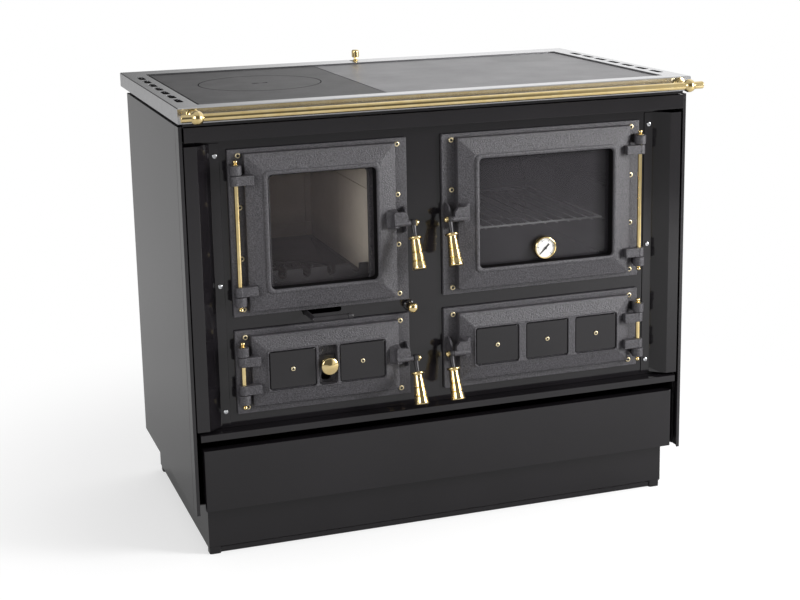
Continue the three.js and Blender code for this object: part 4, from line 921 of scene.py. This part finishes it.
# ---------------------------------------------------------------- inside
def brick_lining():
    """Separate bricks with eased arrises and thin joints, and the proud back slab."""
    (x0, x1), (y0, y1), (z0, z1) = limits_of("firebox_bricks")
    thick, gap, easing = 30, 0.4, 1.4
    middle_y, middle_z = (y0 + y1 - thick) / 2, z0 + 165
    back_x, back_z = -155, 534
    bm = bmesh.new()
    for x in ((x0, x0 + thick), (x1 - thick, x1)):
        for y in ((y0, middle_y - gap), (middle_y + gap, y1 - thick - gap)):
            for z in ((z0, middle_z - gap), (middle_z + gap, z1)):
                block(bm, x, y, z, easing)
    for x in ((x0, back_x - gap), (back_x + gap, x1)):
        for z in ((z0, back_z - gap), (back_z + gap, z1)):
            block(bm, x, (y1 - thick, y1), z, easing)
    finished("lining_bricks", mesh_of(bm), "stove", "firebrick", "firebox_bricks", sharp=40)


def oven_rack():
    """Wire rack: a rod border with thinner wires running front to back under it."""
    rod, wire, pitch = 2, 1.3, 25
    x, y, (z0, z1) = limits_of("oven_rack")
    x0, x1, y0, y1 = shrunk((*x, *y), rod)
    z = (z0 + z1) / 2
    bm = bmesh.new()
    for a, b in (((x0, y0), (x1, y0)), ((x0, y1), (x1, y1)), ((x0, y0), (x0, y1)), ((x1, y0), (x1, y1))):
        run = at(*b, z) - at(*a, z)
        end = run.length / MM
        turned(bm, [(-1.9, 0), (-1.9, 1.2), (-1.2, rod), (end + 1.2, rod), (end + 1.9, 1.2),
                    (end + 1.9, 0)], at(*a, z), run, 16)
    finished("rack_border", mesh_of(bm), "stove", "rack_wire", "oven_rack", sharp=50)
    bm = bmesh.new()
    turned(bm, alike(y1 - y0 + 3, (0, 0.9), (0.4, wire)), (0, 0, 0), -FRONT, 12)
    count = int((x1 - x0 - 2 * rod) // pitch)
    first = (x0 + x1 - (count - 1) * pitch) / 2
    places = [(at(first + i * pitch, y0 - 1.5, z - 3.2), Vector()) for i in range(count)]
    repeated("rack_wires", mesh_of(bm), places, "stove", "rack_wire", FINISHES["rack_wire"], sharp=50)


def blackened(name, bm, body="stove"):
    """Finishes a rope seal, or a black fill of painted shade."""
    finished(name, mesh_of(bm), body, "dark_iron", material=ROPE_AND_SHADE_BLACK)


def hob_gaps():
    """Black fills in the gaps round and between the hob plates, in the cover's ring and in its lifter slot:
    painted shade of those gaps.
    """
    left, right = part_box("hob_plate_left"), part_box("hob_plate_right")
    x0, x1, y0, y1 = left[0].x, right[1].x, left[0].y, left[1].y
    top = left[1].z
    foot, fill_top = top - 7.5 * MM, top - 1.5 * MM
    outer = (x0 - 7.9 * MM, x1 + 1.9 * MM, y0 - 1.9 * MM, y1 + 1.9 * MM)
    inner = shrunk((x0, x1, y0, y1), -0.1 * MM)
    # painted shade: black fill in the gap round the hob plates, wider at the left
    bm = bmesh.new()
    skinned(bm, [flat_ring(outer, MM, foot), flat_ring(outer, MM, fill_top),
                 flat_ring(inner, 0.5 * MM, fill_top), flat_ring(inner, 0.5 * MM, foot)], looped=True)
    blackened("hob_rope", bm)
    # painted shade: black fill in the joint between the two plates
    joint = (left[1].x + 0.1 * MM, right[0].x - 0.1 * MM, y0, y1)
    bm = bmesh.new()
    skinned(bm, [flat_ring(joint, 0.2 * MM, foot), flat_ring(joint, 0.2 * MM, top - 2 * MM)])
    blackened("hob_joint_rope", bm)
    x, y, _ = middle_of("hob_cover")
    face = top / MM
    # painted shade: black ring laid over the gap round the cover
    bm = bmesh.new()
    turned(bm, [(-0.2, 118.5), (0.12, 118.7), (0.12, 120.5), (-0.2, 120.7)], at(x, y, face), UP, 96,
           looped=True)
    blackened("cover_soot_ring", bm)
    # painted shade: black fill in the cover's lifter slot
    bow = [(-14.8, -5.9), (0, -2.4), (14.8, -5.9), (14.8, 5.9), (0, 2.4), (-14.8, 5.9)]
    bm = bmesh.new()
    extruded(bm, [at(x + across, y + along, face - 5) for across, along in bow], UP * 3.6 * MM, 0)
    blackened("lifter_slot_soot", bm, "hob_cover")


def vent_trays():
    """Black trays right under the worktop's vent slots: painted shade for the dark inside that the slots
    show.
    """
    column, middle, pitch, each_way = 478, 286, 61.7, 3
    tray = (-7.5 * MM, 7.5 * MM, -24 * MM, 24 * MM)
    bm = bmesh.new()
    skinned(bm, [flat_ring(tray, 4 * MM, -3 * MM, 2), flat_ring(tray, 4 * MM, 0, 2)])
    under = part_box("worktop_frame")[1].z / MM - 3.2
    places = [(at(x, middle + i * pitch, under), Vector())
              for x in (-column, column) for i in range(-each_way, each_way + 1)]
    # painted shade: black trays under the vent slots
    repeated("vent_trays", mesh_of(bm), places, "stove", "dark_iron", ROPE_AND_SHADE_BLACK)


def fasteners(wells):
    """Brass screws of the frames and inset plates, with dark hexagons of painted shade in their sockets, and
    bright screws of the pillar trims.
    """
    head, shade_hexagon = screw_head(), socket_painted_shade()
    places = []
    for door in DOORS:
        x0, x1, z0, z1 = door.frame
        rows = (z0 + 13, z1 - 13)
        if door in (FIREBOX, OVEN):
            rows = [z0 + 14 + (z1 - z0 - 25.5) * i / 3 for i in range(4)]
        for x in (x0 + 19, x1 - 19):
            for z in rows:
                places.append((at(x, FRAME_Y, z), spun(len(places))))
    repeated("frame_screws", head.copy(), places, "stove", "brass", SCREW_BRASS)
    # dark hexagons in the frame screws' sockets: painted shade
    repeated("frame_screw_sockets", shade_hexagon.copy(), places, "stove", "dark_iron", INK_AND_SOCKET_SHADE)
    small = 0.84
    for door, rects in wells.items():
        places = [(at((x0 + x1) / 2, INSET_FACE_Y, (z0 + z1) / 2), spun(i + 3))
                  for i, (x0, x1, z0, z1) in enumerate(rects)]
        repeated(door.name + "_plate_screws", head.copy(), places, door.body, "brass", SCREW_BRASS, small)
        # dark hexagons in the plate screws' sockets: painted shade
        repeated(door.name + "_plate_screw_sockets", shade_hexagon.copy(), places, door.body, "dark_iron", INK_AND_SOCKET_SHADE,
                 small)
    heights = (279, 517, 756)
    places = [(at(x, PLATE_Y - 2, z), spun(i)) for x in (-430.4, 430.4) for i, z in enumerate(heights)]
    repeated("trim_screws", head, places, "stove", "worktop_steel", ZINC, 0.9)


# ---------------------------------------------------------------- studio
CAMERA_PLACE = Vector((-1.023, STOVE_FRONT - 2.709, 1.223))
CAMERA_TURN = (18.85, 12.79, -1.115)      # degrees to the right, down, and rolled
CAMERA_LENS = 71.6
CAMERA_SHIFT = -0.07
DIM_ROOM, LEFT_WALL, RIGHT_WALL, CEILING = 0.12, 0.6, 1.0, 0.6      # brightness of the surroundings
FLOOR_GREY = 0.55
FLOOR_LIFT = 0.52             # the floor's own light, for the camera's sake
FLOOR_FADE = (0.62, 1.25)     # metres from the middle between which the floor turns white


def camera():
    """Camera at the photograph's angle."""
    data = bpy.data.cameras.new("camera")
    data.lens = CAMERA_LENS
    data.sensor_width = 36.0
    data.shift_y = CAMERA_SHIFT
    view = placed("camera", data)
    yaw, pitch, roll = (math.radians(a) for a in CAMERA_TURN)
    turn = (Matrix.Rotation(-yaw, 4, "Z") @ Matrix.Rotation(math.pi / 2 - pitch, 4, "X")
            @ Matrix.Rotation(roll, 4, "Z"))
    view.matrix_world = Matrix.Translation(CAMERA_PLACE) @ turn
    bpy.context.scene.camera = view
    bpy.context.scene.view_settings.view_transform = "Standard"


def softbox(name, place, target, size, power):
    """Rectangular lamp that faces a target."""
    data = bpy.data.lights.new(name, "AREA")
    data.shape = "RECTANGLE"
    data.size, data.size_y = size
    data.energy = power
    lamp = placed(name, data)
    lamp.location = place
    lamp.rotation_mode = "QUATERNION"
    lamp.rotation_quaternion = (Vector(target) - Vector(place)).to_track_quat("-Z", "Y")


class Studio:
    """Node tree of the world or the floor, with the few operations that both need."""

    def __init__(self, tree):
        self.tree = tree
        tree.nodes.clear()

    def node(self, kind, *sources, **settings):
        made = self.tree.nodes.new(kind)
        for name, value in settings.items():
            setattr(made, name, value)
        for i, source in enumerate(sources):
            if isinstance(source, bpy.types.NodeSocket):
                self.tree.links.new(source, made.inputs[i])
            elif source is not None:
                made.inputs[i].default_value = source
        return made

    def maths(self, operation, first, second):
        return self.node("ShaderNodeMath", first, second, operation=operation).outputs[0]

    def ranged(self, value, start, end, low, high):
        return self.node("ShaderNodeMapRange", value, start, end, low, high,
                         interpolation_type="SMOOTHSTEP").outputs["Result"]

    def seen(self, mirrored):
        """1 for what the camera sees, less for what metal and glass mirror, 0 for light on things."""
        path = self.node("ShaderNodeLightPath").outputs
        metal = self.maths("MAXIMUM", path["Is Glossy Ray"], path["Is Transmission Ray"])
        return self.maths("MAXIMUM", path["Is Camera Ray"], self.maths("MULTIPLY", metal, mirrored))


def daylight():
    """White walls at both sides and overhead, a dim room before and behind; white to the camera."""
    world = bpy.data.worlds.new("studio")
    bpy.context.scene.world = world
    world.use_nodes = True
    room = Studio(world.node_tree)
    place = room.node("ShaderNodeTexCoord").outputs["Generated"]
    split = room.node("ShaderNodeSeparateXYZ", place).outputs
    turn = room.ranged(split["Y"], -0.1, 0.2, 0.0, 0.25)
    right = room.ranged(room.maths("ADD", split["X"], turn), 0.35, 0.6, DIM_ROOM, RIGHT_WALL)
    left = room.ranged(split["X"], -0.4, -0.7, DIM_ROOM, LEFT_WALL)
    above = room.ranged(split["Z"], 0.4, 0.95, 0.0, CEILING)
    level = room.maths("MAXIMUM", room.maths("MAXIMUM", left, right), above)
    camera_ray = room.node("ShaderNodeLightPath").outputs["Is Camera Ray"]
    strength = room.maths("MAXIMUM", level, camera_ray)
    light = room.node("ShaderNodeBackground", (1, 1, 1, 1), strength)
    room.node("ShaderNodeOutputWorld", light.outputs[0])


def floor():
    """Pale floor that keeps the stove's shadow and fades to white away from it."""
    bm = bmesh.new()
    bmesh.ops.create_grid(bm, x_segments=8, y_segments=8, size=9.0)
    ground = placed("floor", mesh_of(bm))
    material = bpy.data.materials.new("pale_floor")
    material.use_nodes = True
    room = Studio(material.node_tree)
    diffuse = room.node("ShaderNodeBsdfDiffuse", (FLOOR_GREY, FLOOR_GREY, FLOOR_GREY, 1)).outputs[0]
    lift = room.maths("MULTIPLY", room.seen(0.05), FLOOR_LIFT)
    glow = room.node("ShaderNodeEmission", (1, 1, 1, 1), lift).outputs[0]
    near = room.node("ShaderNodeAddShader", diffuse, glow).outputs[0]
    white = room.node("ShaderNodeEmission", (1, 1, 1, 1), 1.0).outputs[0]
    place = room.node("ShaderNodeTexCoord").outputs["Object"]
    reach = room.node("ShaderNodeVectorMath", place, operation="LENGTH").outputs["Value"]
    fade = room.ranged(reach, *FLOOR_FADE, 0.0, 1.0)
    share = room.maths("MULTIPLY", fade, room.seen(0.15))
    mixed = room.node("ShaderNodeMixShader", share, near, white).outputs[0]
    room.node("ShaderNodeOutputMaterial", mixed)
    ground.data.materials.append(material)


# ---------------------------------------------------------------- the stove
REPEATER = repeater()
camera()
daylight()
floor()
softbox("key", (2.5, -1.9, 1.3), (0, -0.2, 0.5), (0.9, 1.5), 115)
softbox("fill", (-2.2, -1.7, 1.4), (0, 0, 0.5), (1.2, 1.2), 24)

EASED = {
    "side_panel_left": 0.8, "side_panel_right": 0.8, "plinth": 1.0, "back_panel": 0.6,
    "worktop_frame": 0.8, "hob_plate_left": 0.7, "hob_plate_right": 0.7, "hob_cover": 0.5,
    "front_plate": 0.5, "fascia": 0.8, "sill_rail": 0.8, "pillar_trim_left": 0.6, "pillar_trim_right": 0.6,
    "drawer": 0.8, "hearth": 1.0, "log_guard": 0.8, "grate": 0.6,
}
for node, width in EASED.items():
    eased(node, width * MM)
for door in DOORS:
    door_frame(door)
    hinge_rod(door)
    lever(door)
for door, glass in ((FIREBOX, "fire_glass"), (OVEN, "oven_glass_dark")):
    glazed_door(door)
    pane(door, glass)
    window_seal(door)
WELLS = {ASH: panel_door(ASH, 2, 44.4), LOWER: panel_door(LOWER, 3, 14.5)}
thermometer()
air_slider()
pull_knob()
shaker_handle()
damper_knob()
rail()
brick_lining()
oven_rack()
fasteners(WELLS)
hob_gaps()
vent_trays()
for node, part in NODES.items():
    part.data.materials.clear()
    part.data.materials.append(FINISHES[SLOT_OF[node]])
